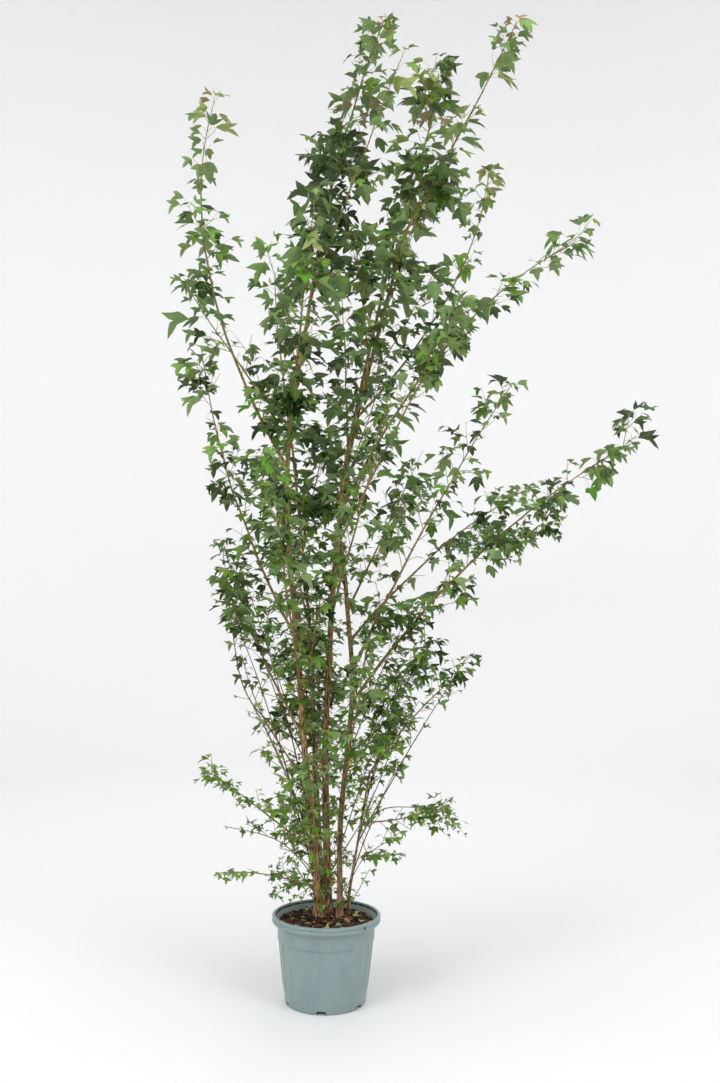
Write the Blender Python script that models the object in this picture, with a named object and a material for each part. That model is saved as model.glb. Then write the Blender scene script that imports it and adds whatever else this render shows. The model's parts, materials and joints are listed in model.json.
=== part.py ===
"""A trident maple grown as a many-stemmed shrub in a nursery pot, about four metres tall.

Lengths are metres and +Z is up. The origin is the middle of the pot's flat underside, -Y is the front.
Three stems, and two thinner ones beside them, rise from the potting mix. Boughs leave the stems, and
each bough or stem ends in a mass of foliage: one stem with twigs and leaves grown on it by a seeded rule.
"""

import math
import random
from collections import namedtuple

import bmesh
import bpy
from mathutils import Matrix, Vector
from mathutils.bvhtree import BVHTree
from mathutils.kdtree import KDTree

# The pot: a tapered body with shallow flutes, a collar and a rounded lip
POT_HEIGHT = 0.334
LIP_RADIUS = 0.213
LIP_HEIGHT = 0.030
LIP_WIDTH = 0.013
COLLAR_RADIUS = 0.190
COLLAR_FOOT = 0.242
BODY_RADIUS = 0.1845
FOOT_RADIUS = 0.157
FOOT_BAND = 0.055
FOOT_CHAMFER = 0.005
POT_WALL = 0.0035
FLOOR_THICKNESS = 0.004
FLUTES = 24
FLUTE_DEPTH = 0.002
POT_SEGMENTS = 2 * FLUTES
SLOTS = 6
SLOT_TURN = math.radians(-94)
SLOT_WIDTH = 0.036
SLOT_HEIGHT = 0.015
SLOT_DEPTH = 0.016
CUTTER_MARGIN = 0.02

# The potting mix, slightly mounded round the stems
MIX_EDGE = 0.304
MIX_TOP = 0.322
MOUND_RADIUS = 0.105

# Neighbouring pieces stay this far apart
GAP = 0.0003

# Limbs: how finely they are drawn, and how the stems widen at the root
STEM_SIDES = 8
BOUGH_SIDES = 6
TWIG_SIDES = 3
STEM_STEP = 0.17
BOUGH_STEP = 0.13
FLARE = 0.42
FLARE_HEIGHT = 0.035
FLARE_FOOT = 0.35
TIP_RADIUS = 0.0030

# Twigs, turning round the stem by the golden angle. Their lengths are shares of the mass's reach there,
# which is full about halfway along its stem. What is nearer its root than ROOT_ZONE may touch its carrier.
TWIG_SPACING = 0.146
TWIG_RADIUS = 0.0044
TWIG_RISE = 0.55
TWIG_SHARES = (0.20, 0.42)
TWIG_TRIES = 9
TURN = math.radians(137.5)
BARE_FOOT = 0.07
REACH_AT_ENDS = 0.80
REACH_SHIFT = 0.10
ROOT_ZONE = 0.014

# Leaf outlines, as shares of the leaf's length. Each leaf stands for a small spray, so it is larger than
# a real one.
LOBE = (0.46, 0.62)
NOTCH = (0.15, 0.54)
CROWN = (0.0, 0.36)
LEAF_THICKNESS = 0.035
LEAF_SIZES = (1.0, 1.3)

# How leaves sit: where on a twig, how deep, how they hang, and how far each follows what carries it
LEAF_PLACES = (0.40, 0.72)
LEAF_SINK = 0.0014
LEAF_DROOP = 0.70
LEAF_LIFT = 0.80
LEAF_WANDER = 0.45
LEAF_FORWARD = 0.50
TWIG_FOLLOW = 1.4
TIP_FOLLOW = 2.4
LEAF_TRIES = 10
SEED = 41

Stem = namedtuple("Stem", "name foot bends top girth tip_girth")
Branch = namedtuple("Branch", "name parent height tip bow bare reach girth leaf")

# Each stem: its foot on the potting mix (x, y), the bends it passes, its top, its girth at foot and top
STEMS = (
    Stem(
        "stem_left",
        (-0.036, 0.004),
        ((-0.055, -0.004, 0.62), (-0.092, -0.030, 0.95), (-0.120, -0.050, 1.30), (-0.178, -0.055, 2.08)),
        (-0.085, 0.000, 2.90),
        0.029,
        0.013,
    ),
    Stem(
        "stem_middle",
        (0.004, 0.048),
        ((-0.014, 0.050, 0.92), (-0.004, 0.040, 1.30), (0.020, 0.022, 1.74), (0.085, 0.000, 2.24)),
        (0.290, -0.020, 3.08),
        0.031,
        0.012,
    ),
    Stem(
        "stem_right",
        (0.052, 0.006),
        ((0.052, 0.000, 0.70), (0.092, 0.008, 1.20), (0.062, 0.085, 1.60), (0.040, 0.135, 2.05)),
        (0.250, 0.110, 3.10),
        0.023,
        0.011,
    ),
    Stem(
        "stem_back",
        (-0.020, 0.086),
        ((-0.058, 0.100, 0.90), (-0.082, 0.125, 1.40)),
        (-0.175, 0.205, 2.20),
        0.019,
        0.010,
    ),
    Stem(
        "stem_thin",
        (0.088, 0.040),
        ((0.104, 0.030, 0.50),),
        (0.165, -0.010, 0.88),
        0.012,
        0.008,
    ),
)

# Each branch: where it leaves its stem, its tip, how far it bows aside halfway along, how much of it
# is a bare bough, how far its foliage reaches to the sides, its girth and the length of its leaves.
# A branch with no height grows on from its stem's top, and one with nothing bare has no bough.
BRANCHES = (
    Branch("top_left", "stem_left", None, (0.195, -0.02, 4.00), (-0.03, 0, 0), 0, 0.23, 0.013, 0.115),
    Branch("top_right", "stem_middle", None, (0.745, -0.05, 3.97), (0.01, 0, 0), 0, 0.21, 0.012, 0.115),
    Branch("top_middle", "stem_right", None, (0.435, 0.09, 3.82), (0.02, 0, 0), 0, 0.22, 0.011, 0.115),
    Branch("top_back", "stem_back", None, (-0.275, 0.30, 3.00), (-0.01, 0, 0), 0, 0.23, 0.010, 0.115),
    Branch("right_low", "stem_thin", None, (0.46, -0.13, 1.24), (0, 0, 0.02), 0, 0.21, 0.008, 0.085),
    Branch("top_front", "stem_left", 2.80, (0.27, -0.17, 3.76), (0, -0.05, 0), 0, 0.22, 0.010, 0.110),
    Branch("left_leader", "stem_left", 2.09, (-0.52, 0.04, 3.67), (-0.17, 0, 0.03), 0.33, 0.21, 0.013, 0.110),
    Branch("left_outer", "stem_left", 2.25, (-0.57, -0.20, 2.78), (-0.02, 0, 0), 0.30, 0.21, 0.010, 0.110),
    Branch("left_side", "stem_left", 1.40, (-0.51, -0.20, 2.53), (-0.06, 0, 0), 0.26, 0.23, 0.012, 0.105),
    Branch("left_fan", "stem_left", 1.02, (-0.42, -0.12, 1.78), (-0.03, 0, 0), 0.28, 0.22, 0.011, 0.095),
    Branch("left_low", "stem_left", 0.56, (-0.47, -0.12, 0.90), (0, 0, 0.01), 0.30, 0.18, 0.009, 0.080),
    Branch("left_brush", "stem_left", 0.84, (-0.36, 0.05, 1.34), (-0.04, 0, 0), 0, 0.20, 0.008, 0.085),
    Branch("left_foot", "stem_left", 0.43, (-0.42, -0.03, 0.49), (0, 0, 0.02), 0, 0.16, 0.007, 0.075),
    Branch("far_right", "stem_right", 1.15, (1.17, -0.05, 2.18), (-0.04, 0, 0.08), 0.26, 0.23, 0.014, 0.110),
    Branch("right_back", "stem_right", 1.40, (0.84, 0.30, 2.06), (0, 0.02, 0.06), 0.30, 0.22, 0.012, 0.105),
    Branch("right_side", "stem_right", 1.28, (0.70, -0.18, 2.40), (0, -0.02, 0.05), 0.27, 0.23, 0.012, 0.105),
    Branch("right_upper", "stem_middle", 1.92, (1.00, 0.06, 3.07), (-0.04, 0, 0.14), 0.27, 0.21, 0.013, 0.110),
    Branch("right_front", "stem_middle", 1.78, (0.50, -0.32, 2.70), (0, -0.03, 0), 0.26, 0.24, 0.011, 0.110),
    Branch("right_high", "stem_right", 2.32, (0.66, 0.16, 3.42), (0.11, 0, 0), 0.26, 0.21, 0.011, 0.110),
    Branch("front_low", "stem_right", 0.78, (0.15, -0.40, 1.42), (0, -0.04, 0), 0.24, 0.23, 0.010, 0.090),
    Branch("front_left", "stem_left", 1.22, (-0.20, -0.56, 2.05), (0, -0.06, 0), 0.24, 0.25, 0.011, 0.105),
    Branch("front_right", "stem_middle", 1.50, (0.22, -0.55, 2.25), (0, -0.03, 0), 0.26, 0.24, 0.011, 0.105),
    Branch("front_high", "stem_left", 2.16, (-0.06, -0.48, 3.05), (0, -0.05, 0), 0.24, 0.25, 0.011, 0.110),
    Branch("back_low", "stem_back", 0.80, (-0.06, 0.50, 1.42), (0, 0.05, 0), 0.22, 0.23, 0.009, 0.090),
    Branch("back_right", "stem_right", 1.52, (0.38, 0.62, 2.22), (0, 0.04, 0), 0.24, 0.25, 0.011, 0.105),
    Branch("back_left", "stem_back", 1.45, (-0.34, 0.64, 2.26), (0, 0.04, 0), 0.24, 0.25, 0.010, 0.105),
    Branch("back_high", "stem_right", 2.20, (0.02, 0.60, 3.02), (0, 0.05, 0), 0.24, 0.25, 0.010, 0.110),
    Branch("right_foot", "stem_thin", 0.68, (0.46, 0.02, 0.74), (0, 0, -0.01), 0, 0.16, 0.007, 0.080),
    Branch("foot_back", "stem_middle", 0.46, (0.20, 0.34, 0.72), (0, 0, 0), 0, 0.19, 0.007, 0.080),
    Branch("foot_front", "stem_left", 0.60, (-0.05, -0.32, 0.98), (0, -0.02, 0), 0, 0.20, 0.008, 0.085),
    Branch("centre_low", "stem_left", 1.14, (-0.02, -0.17, 1.66), (0, 0, 0), 0, 0.23, 0.008, 0.095),
    Branch("centre_middle", "stem_middle", 1.98, (0.20, -0.13, 2.46), (0, 0, 0), 0, 0.23, 0.008, 0.105),
    Branch("centre_high", "stem_middle", 2.52, (0.08, -0.14, 3.04), (0, 0, 0), 0, 0.23, 0.008, 0.105),
    Branch("centre_back", "stem_back", 1.80, (-0.03, 0.36, 2.34), (0, 0, 0), 0, 0.23, 0.008, 0.105),
)


def clear_scene():
    """Remove whatever the file holds at the start."""
    for item in list(bpy.data.objects):
        bpy.data.objects.remove(item, do_unlink=True)


def material(name, colour, roughness):
    """A plain surface of one colour."""
    surface = bpy.data.materials.new(name)
    surface.use_nodes = True
    shader = surface.node_tree.nodes["Principled BSDF"]
    shader.inputs["Base Color"].default_value = (*colour, 1.0)
    shader.inputs["Roughness"].default_value = roughness
    shader.inputs["Metallic"].default_value = 0.0
    return surface


def new_collection(name):
    """A collection for pieces that a Boolean is about to use up."""
    collection = bpy.data.collections.new(name)
    bpy.context.scene.collection.children.link(collection)
    return collection


def discard(collection):
    """Remove a collection and the objects in it."""
    for item in list(collection.objects):
        bpy.data.objects.remove(item, do_unlink=True)
    bpy.data.collections.remove(collection)


def add_object(name, shape, surface=None, collection=None):
    """Put a bmesh in the scene as an object, and free it."""
    mesh = bpy.data.meshes.new(name)
    bmesh.ops.recalc_face_normals(shape, faces=shape.faces)
    shape.to_mesh(mesh)
    shape.free()
    if surface:
        mesh.materials.append(surface)
    item = bpy.data.objects.new(name, mesh)
    (collection or bpy.context.scene.collection).objects.link(item)
    return item


def boolean(item, operation, operand):
    """Cut an object by another one or by a collection, or join a collection to it, and apply the result."""
    modifier = item.modifiers.new(operation.title(), "BOOLEAN")
    modifier.operation = operation
    modifier.solver = "EXACT"
    if isinstance(operand, bpy.types.Collection):
        modifier.operand_type = "COLLECTION"
        modifier.collection = operand
    else:
        modifier.object = operand
    bpy.context.view_layer.update()
    evaluated = item.evaluated_get(bpy.context.evaluated_depsgraph_get())
    result = bpy.data.meshes.new_from_object(evaluated)
    item.modifiers.remove(modifier)
    item.data = result


def turned(profile, segments):
    """A solid of revolution about Z from a closed profile of (radius, height) points."""
    shape = bmesh.new()
    corners = [shape.verts.new((radius, 0.0, height)) for radius, height in profile]
    edges = [shape.edges.new(pair) for pair in zip(corners, corners[1:])]
    bmesh.ops.spin(
        shape,
        geom=corners + edges,
        axis=(0.0, 0.0, 1.0),
        cent=(0.0, 0.0, 0.0),
        steps=segments,
        angle=math.tau,
        use_duplicate=False,
    )
    bmesh.ops.remove_doubles(shape, verts=shape.verts, dist=1e-6)
    return shape


def pot_inner_radius(height):
    """The pot's inner wall narrows evenly from under the lip to the floor."""
    share = height / POT_HEIGHT
    return FOOT_RADIUS + (COLLAR_RADIUS - FOOT_RADIUS) * share - POT_WALL


def pot_outer_radius(height):
    """The pot's body narrows evenly from the collar to the foot."""
    return FOOT_RADIUS + (BODY_RADIUS - FOOT_RADIUS) * height / COLLAR_FOOT


def flute(shape, heights):
    """Press shallow grooves into the rings of the pot's outer wall at these heights."""
    for corner in shape.verts:
        radius = corner.co.xy.length
        at_ring = any(math.isclose(corner.co.z, height, abs_tol=1e-5) for height in heights)
        if at_ring and radius > pot_inner_radius(corner.co.z) + POT_WALL / 2:
            angle = math.atan2(corner.co.y, corner.co.x)
            depth = FLUTE_DEPTH * (1 - math.cos(FLUTES * angle)) / 2
            corner.co.xy *= (radius - depth) / radius


def slot_cutters():
    """Blocks that cut the drainage slots through the foot of the wall."""
    cutters = new_collection("slot_cutters")
    size = (SLOT_DEPTH + CUTTER_MARGIN, SLOT_WIDTH, 2 * SLOT_HEIGHT)
    middle = FOOT_RADIUS - SLOT_DEPTH + size[0] / 2
    for index in range(SLOTS):
        angle = math.tau * index / SLOTS + SLOT_TURN
        cutter = bmesh.new()
        bmesh.ops.create_cube(cutter, size=1.0)
        bmesh.ops.scale(cutter, vec=size, verts=cutter.verts)
        bmesh.ops.translate(cutter, vec=(middle, 0.0, 0.0), verts=cutter.verts)
        bmesh.ops.rotate(cutter, matrix=Matrix.Rotation(angle, 3, "Z"), verts=cutter.verts)
        add_object(f"slot_cutter_{index}", cutter, collection=cutters)
    return cutters


def make_pot(surface):
    """The pot: turned, fluted between its foot band and its collar, with drainage slots at the foot."""
    lip_under = POT_HEIGHT - LIP_HEIGHT
    lip_round = LIP_HEIGHT / 3
    flute_top = COLLAR_FOOT - FOOT_CHAMFER
    profile = (
        (0.0, 0.0),
        (FOOT_RADIUS - FOOT_CHAMFER, 0.0),
        (pot_outer_radius(FOOT_CHAMFER), FOOT_CHAMFER),
        (pot_outer_radius(FOOT_BAND), FOOT_BAND),
        (pot_outer_radius(flute_top), flute_top),
        (COLLAR_RADIUS, COLLAR_FOOT),
        (COLLAR_RADIUS, lip_under),
        (LIP_RADIUS, lip_under + lip_round),
        (LIP_RADIUS, POT_HEIGHT - lip_round),
        (LIP_RADIUS - lip_round, POT_HEIGHT),
        (LIP_RADIUS - LIP_WIDTH, POT_HEIGHT),
        (pot_inner_radius(lip_under), lip_under),
        (pot_inner_radius(FLOOR_THICKNESS), FLOOR_THICKNESS),
        (0.0, FLOOR_THICKNESS),
    )
    shape = turned(profile, POT_SEGMENTS)
    flute(shape, (FOOT_BAND, flute_top))
    pot = add_object("pot", shape, surface)
    cutters = slot_cutters()
    boolean(pot, "DIFFERENCE", cutters)
    discard(cutters)


def make_mix(surface):
    """The potting mix fills the pot, clear of its walls and floor, and rises to a flat-topped mound."""
    profile = (
        (0.0, FLOOR_THICKNESS + GAP),
        (pot_inner_radius(FLOOR_THICKNESS) - 2 * GAP, FLOOR_THICKNESS + GAP),
        (pot_inner_radius(MIX_EDGE) - GAP, MIX_EDGE),
        (MOUND_RADIUS, MIX_TOP),
        (0.0, MIX_TOP),
    )
    add_object("potting_mix", turned(profile, POT_SEGMENTS), surface)


def length_of(line):
    """The length of a line of points."""
    return sum((end - start).length for start, end in zip(line, line[1:]))


def place_along(line, distance):
    """The point at a distance along a line, and the way the line runs there."""
    for start, end in zip(line, line[1:]):
        step = (end - start).length
        if distance <= step:
            break
        distance -= step
    return start.lerp(end, min(1.0, distance / step)), (end - start).normalized()


def through(points, step):
    """Points about step apart on a smooth curve through the given ones."""
    ends = [2 * points[0] - points[1], *points, 2 * points[-1] - points[-2]]
    line = []
    for before, start, end, after in zip(ends, ends[1:], ends[2:], ends[3:]):
        count = max(1, round((end - start).length / step))
        bend = 2 * before - 5 * start + 4 * end - after
        twist = 3 * start - before - 3 * end + after
        for index in range(count):
            t = index / count
            line.append(start + ((end - before) * t + bend * t**2 + twist * t**3) / 2)
    return line + [points[-1].copy()]


def frames(line, heading=None):
    """A pair of axes square to the line at each of its points, turning as little as they can."""
    side = None
    for index, point in enumerate(line):
        ahead = line[min(index + 1, len(line) - 1)]
        behind = line[max(index - 1, 0)]
        forward = (ahead - behind).normalized()
        if heading and index == 0:
            forward = heading
        side = side or forward.orthogonal()
        side = (side - forward * side.dot(forward)).normalized()
        yield point, side, forward.cross(side)


def ring_of(shape, point, side, up, radius, sides):
    """Corners set evenly round a point."""
    ring = []
    for index in range(sides):
        angle = math.tau * index / sides
        ring.append(shape.verts.new(point + (side * math.cos(angle) + up * math.sin(angle)) * radius))
    return ring


def bridge(shape, lower, upper):
    """The faces between two rings."""
    for index, corner in enumerate(lower):
        after = (index + 1) % len(lower)
        shape.faces.new((corner, lower[after], upper[after], upper[index]))


def tube(line, radii, sides, heading=None):
    """A closed limb: rings of corners along the line, with a flat face at each end."""
    shape = bmesh.new()
    rings = [
        ring_of(shape, point, side, up, radius, sides)
        for (point, side, up), radius in zip(frames(line, heading), radii)
    ]
    for lower, upper in zip(rings, rings[1:]):
        bridge(shape, lower, upper)
    shape.faces.new(reversed(rings[0]))
    shape.faces.new(rings[-1])
    return shape


def stem_line(stem):
    """A stem's centre line and its radius along it, wider where it enters the potting mix."""
    foot = Vector((*stem.foot, MIX_TOP + GAP))
    flare_top = foot + Vector((0.0, 0.0, 2 * FLARE_HEIGHT))
    line = through([foot, flare_top, *(Vector(bend) for bend in stem.bends), Vector(stem.top)], STEM_STEP)
    line.insert(1, foot.lerp(flare_top, FLARE_FOOT))
    radii = []
    for point in line:
        share = (point.z - foot.z) / (stem.top[2] - foot.z)
        flare = 1 + FLARE * math.exp(-(point.z - foot.z) / FLARE_HEIGHT)
        radii.append((stem.girth + (stem.tip_girth - stem.girth) * share) / 2 * flare)
    return line, radii


def at_height(line, height):
    """The point of a rising line at a height."""
    for lower, upper in zip(line, line[1:]):
        if lower.z <= height <= upper.z:
            return lower.lerp(upper, (height - lower.z) / (upper.z - lower.z))
    raise ValueError(f"no point of the line is {height} high")


def branch_line(branch, stem):
    """A branch's bowed centre line, from its stem's axis, or from just past its stem's top, to its tip."""
    heading = None
    if branch.height is None:
        heading = (stem[-1] - stem[-2]).normalized()
        start = stem[-1] + heading * GAP
    else:
        start = at_height(stem, branch.height)
    tip = Vector(branch.tip)
    control = start.lerp(tip, 0.5) + 2 * Vector(branch.bow)
    count = max(3, round((tip - start).length / BOUGH_STEP))
    line = []
    for index in range(count + 1):
        t = index / count
        line.append(start * (1 - t) ** 2 + control * (2 * t * (1 - t)) + tip * t**2)
    return line, heading


def tapered(branch, line, walked, whole):
    """The radius at each point of part of a branch, after the length walked so far."""
    radii = []
    before = line[0]
    for point in line:
        walked += (point - before).length
        before = point
        share = min(1.0, walked / whole)
        radii.append(branch.girth / 2 * (1 - share) + TIP_RADIUS * share)
    return radii


def reach_at(reach, share):
    """How far foliage reaches from its stem: widest about halfway along."""
    swell = math.sin(math.pi * min(1.0, share + REACH_SHIFT))
    return reach * (REACH_AT_ENDS + (1 - REACH_AT_ENDS) * swell)


class Space:
    """Every mass's own space: nearer to its stem than to any other's, and within its reach."""

    STEP = 0.03

    def __init__(self, masses):
        self.marks = []
        for name, (line, reach) in masses.items():
            whole = length_of(line)
            count = math.ceil(whole / self.STEP)
            for index in range(count + 1):
                point, _ = place_along(line, whole * index / count)
                self.marks.append((point, name, reach_at(reach, index / count)))
        self.tree = KDTree(len(self.marks))
        for index, (point, _, _) in enumerate(self.marks):
            self.tree.insert(point, index)
        self.tree.balance()

    def holds(self, name, points):
        """Whether all the points lie in this mass's space."""
        for point in points:
            _, index, distance = self.tree.find(point)
            _, owner, reach = self.marks[index]
            if owner != name or distance > reach:
                return False
        return True


def leaf_blade(shape, root, along, facing, length):
    """The blade's corners: both lobes, both notches, the tip and the raised crown of the upper face."""
    across = along.cross(facing).normalized()
    upward = across.cross(along)

    def corner(sideways, forward, lift=0.0):
        return shape.verts.new(root + (across * sideways + along * forward + upward * lift) * length)

    lobes = [corner(*LOBE), corner(-LOBE[0], LOBE[1])]
    notches = [corner(*NOTCH), corner(-NOTCH[0], NOTCH[1])]
    tip = corner(0.0, 1.0)
    crown = corner(*CROWN, LEAF_THICKNESS)
    for lobe, notch in zip(lobes, notches):
        shape.faces.new((crown, lobe, notch))
        shape.faces.new((crown, notch, tip))
    shape.faces.new((notches[0], notches[1], tip))
    return across, lobes, notches, crown


def leaf_shape(root, along, facing, length):
    """A three-lobed leaf, flat beneath and ridged above, that narrows to its root."""
    shape = bmesh.new()
    _, lobes, notches, crown = leaf_blade(shape, root, along, facing, length)
    root = shape.verts.new(root - along * LEAF_SINK)
    for lobe, notch in zip(lobes, notches):
        shape.faces.new((root, lobe, crown))
        shape.faces.new((root, notch, lobe))
    shape.faces.new((root, notches[0], notches[1]))
    return shape


def twig_shape(start, end, along, facing, length):
    """A straight three-sided twig that widens into the leaf at its tip, in one piece."""
    shape = bmesh.new()
    across, lobes, notches, crown = leaf_blade(shape, end, along, facing, length)
    forward = (end - start).normalized()
    upward = across.cross(forward).normalized()
    sideways = forward.cross(upward)
    foot = ring_of(shape, start, upward, sideways, TWIG_RADIUS, TWIG_SIDES)
    head = ring_of(shape, end, upward, sideways, TIP_RADIUS, TWIG_SIDES)
    bridge(shape, foot, head)
    shape.faces.new(reversed(foot))
    top, *low = head
    for corner, lobe, notch in zip(low, lobes, notches):
        shape.faces.new((top, corner, lobe))
        shape.faces.new((top, lobe, crown))
        shape.faces.new((corner, notch, lobe))
    shape.faces.new((low[0], low[1], notches[1]))
    shape.faces.new((low[0], notches[1], notches[0]))
    return shape


class Mass:
    """One mass of foliage while it grows: the pieces to be joined, and what it must keep clear of."""

    def __init__(self, branch, line, space, taken):
        self.branch = branch
        self.line = line
        self.space = space
        self.taken = taken
        self.pieces = []
        self.trees = []
        self.chance = random.Random(f"{SEED} {branch.name}")

    def keep(self, shape):
        """Add a piece to the mass and return its number."""
        self.trees.append(BVHTree.FromBMesh(shape))
        self.pieces.append(shape)
        return len(self.pieces) - 1

    def keep_if_clear(self, shape, carrier, root):
        """Keep a piece if it stays in the mass's space and touches nothing but its carrier."""
        free = [corner.co for corner in shape.verts if (corner.co - root).length > ROOT_ZONE]
        if self.space.holds(self.branch.name, free):
            tree = BVHTree.FromBMesh(shape)
            own = self.trees[:carrier] + self.trees[carrier + 1 :]
            if not any(tree.overlap(other) for other in self.taken + own):
                return self.keep(shape)
        shape.free()
        return None

    def leaf_pose(self, heading, follow):
        """A way for a leaf to grow: outward and down, or along its carrier, its face outward and up."""
        wander = [self.chance.uniform(-LEAF_WANDER, LEAF_WANDER) for _ in range(6)]
        level = Vector((heading.x, heading.y, 0.0)).normalized()
        hanging = (level + Vector(wander[:3]) - Vector((0, 0, LEAF_DROOP))).normalized()
        along = (hanging + heading * follow).normalized()
        facing = level + Vector((0, 0, LEAF_LIFT)) + Vector(wander[3:])
        return along, facing, self.branch.leaf * self.chance.uniform(*LEAF_SIZES)

    def add_leaf(self, root, heading, carrier, follow=0.0):
        """Try a few ways to set one leaf on a twig, and keep the first that fits."""
        for _ in range(LEAF_TRIES):
            if self.keep_if_clear(leaf_shape(root, *self.leaf_pose(heading, follow)), carrier, root):
                return

    def add_twig(self, root, outward, forward, length):
        """Grow one side twig that ends in a leaf, with a leaf on each side of it."""
        heading = (forward * TWIG_RISE + outward).normalized()
        tip = root + heading * length
        twig = twig_shape(root, tip, *self.leaf_pose(heading, TWIG_FOLLOW))
        carrier = self.keep_if_clear(twig, 0, root)
        if not carrier:
            return False
        aside = heading.cross(Vector((0, 0, 1))).normalized()
        for place in LEAF_PLACES:
            way = (heading * LEAF_FORWARD + aside).normalized()
            self.add_leaf(root.lerp(tip, place), way, carrier)
            aside = -aside
        return True

    def grow(self):
        """Set twigs round the stem at even steps, and a leaf at its tip."""
        whole = length_of(self.line)
        count = max(2, round((whole - BARE_FOOT) / TWIG_SPACING))
        angle = self.chance.uniform(0, math.tau)
        for index in range(count):
            distance = BARE_FOOT + (whole - BARE_FOOT) * index / count
            root, forward = place_along(self.line, distance)
            reach = reach_at(self.branch.reach, distance / whole)
            for attempt in range(TWIG_TRIES):
                turn = Matrix.Rotation(angle + attempt * TURN, 3, forward)
                length = reach * self.chance.uniform(*TWIG_SHARES)
                if self.add_twig(root, turn @ forward.orthogonal().normalized(), forward, length):
                    break
            angle += TURN
        tip, forward = place_along(self.line, whole)
        self.add_leaf(tip - forward * TIP_RADIUS, forward, 0, TIP_FOLLOW)

    def build(self, stem_shape, surface, envelope):
        """Grow the mass, join its pieces to its stem and return the object."""
        self.keep(stem_shape)
        self.grow()
        name = "foliage_" + self.branch.name
        item = add_object(name, stem_shape, surface)
        if envelope:
            boolean(item, "DIFFERENCE", envelope)
        sprays = new_collection(name + "_sprays")
        for number, shape in enumerate(self.pieces[1:]):
            add_object(f"{name}_{number}", shape, collection=sprays)
        boolean(item, "UNION", sprays)
        discard(sprays)
        return item


def faces_of(item):
    """A search tree of an object's faces."""
    corners = [corner.co for corner in item.data.vertices]
    return BVHTree.FromPolygons(corners, [tuple(face.vertices) for face in item.data.polygons])


def make_stems(surface):
    """The stems, and an envelope round each that shapes the roots of what meets it."""
    lines = {}
    envelopes = {}
    for stem in STEMS:
        line, radii = stem_line(stem)
        lines[stem.name] = line
        add_object(stem.name, tube(line, radii, STEM_SIDES), surface)
        envelope = add_object(stem.name + "_envelope", tube(line, [r + GAP for r in radii], STEM_SIDES))
        envelope.hide_render = True
        envelope.display_type = "WIRE"
        envelopes[stem.name] = envelope
    return lines, envelopes


def make_bough(branch, line, whole, envelope, surface):
    """The bare first part of a branch. Returns the rest of its line, a gap further on, and its heading."""
    last = max(1, round(branch.bare * (len(line) - 1)))
    bare = line[: last + 1]
    shape = tube(bare, tapered(branch, bare, 0.0, whole), BOUGH_SIDES)
    item = add_object("bough_" + branch.name, shape, surface)
    boolean(item, "DIFFERENCE", envelope)
    heading = (line[last] - line[last - 1]).normalized()
    return [line[last] + heading * GAP, *line[last + 1 :]], heading


def make_branches(lines, envelopes, bark, foliage):
    """The boughs first, and then the masses of foliage, which keep clear of them and of each other."""
    leafy = {}
    for branch in BRANCHES:
        line, heading = branch_line(branch, lines[branch.parent])
        whole = length_of(line)
        envelope = None if heading else envelopes[branch.parent]
        if branch.bare:
            line, heading = make_bough(branch, line, whole, envelope, bark)
            envelope = None
        leafy[branch.name] = (line, heading, whole, envelope)
    space = Space({branch.name: (leafy[branch.name][0], branch.reach) for branch in BRANCHES})
    limbs = [item for item in bpy.context.scene.objects if item.name.startswith(("stem", "bough"))]
    taken = [faces_of(item) for item in limbs if not item.hide_render]
    for branch in BRANCHES:
        line, heading, whole, envelope = leafy[branch.name]
        radii = tapered(branch, line, whole - length_of(line), whole)
        mass = Mass(branch, line, space, taken)
        taken.append(faces_of(mass.build(tube(line, radii, TWIG_SIDES, heading), foliage, envelope)))


def main():
    clear_scene()
    bark = material("bark", (0.20, 0.10, 0.055), 0.85)
    foliage = material("foliage", (0.055, 0.14, 0.045), 0.55)
    make_pot(material("pot_plastic", (0.26, 0.35, 0.35), 0.50))
    make_mix(material("potting_mix", (0.045, 0.026, 0.018), 0.95))
    lines, envelopes = make_stems(bark)
    make_branches(lines, envelopes, bark, foliage)
    for envelope in envelopes.values():
        bpy.data.objects.remove(envelope, do_unlink=True)


main()
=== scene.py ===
# %% [markdown]
# A trident maple grown as a tall shrub in a nursery pot. Three stems and two thinner ones rise from the
# potting mix, boughs leave them at all heights, and small three-lobed leaves hang from fine twigs.
#
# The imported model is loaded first, as a fixed frame. Its solids stand for the plant in a simulation: here
# each of them is replaced by what it stands for, at the same place and size.

# %% Load the frame
import json
import math
import random
from collections import defaultdict, namedtuple

import bmesh
import bpy
import numpy as np
from mathutils import Matrix, Quaternion, Vector, noise
from mathutils.kdtree import KDTree

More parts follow.
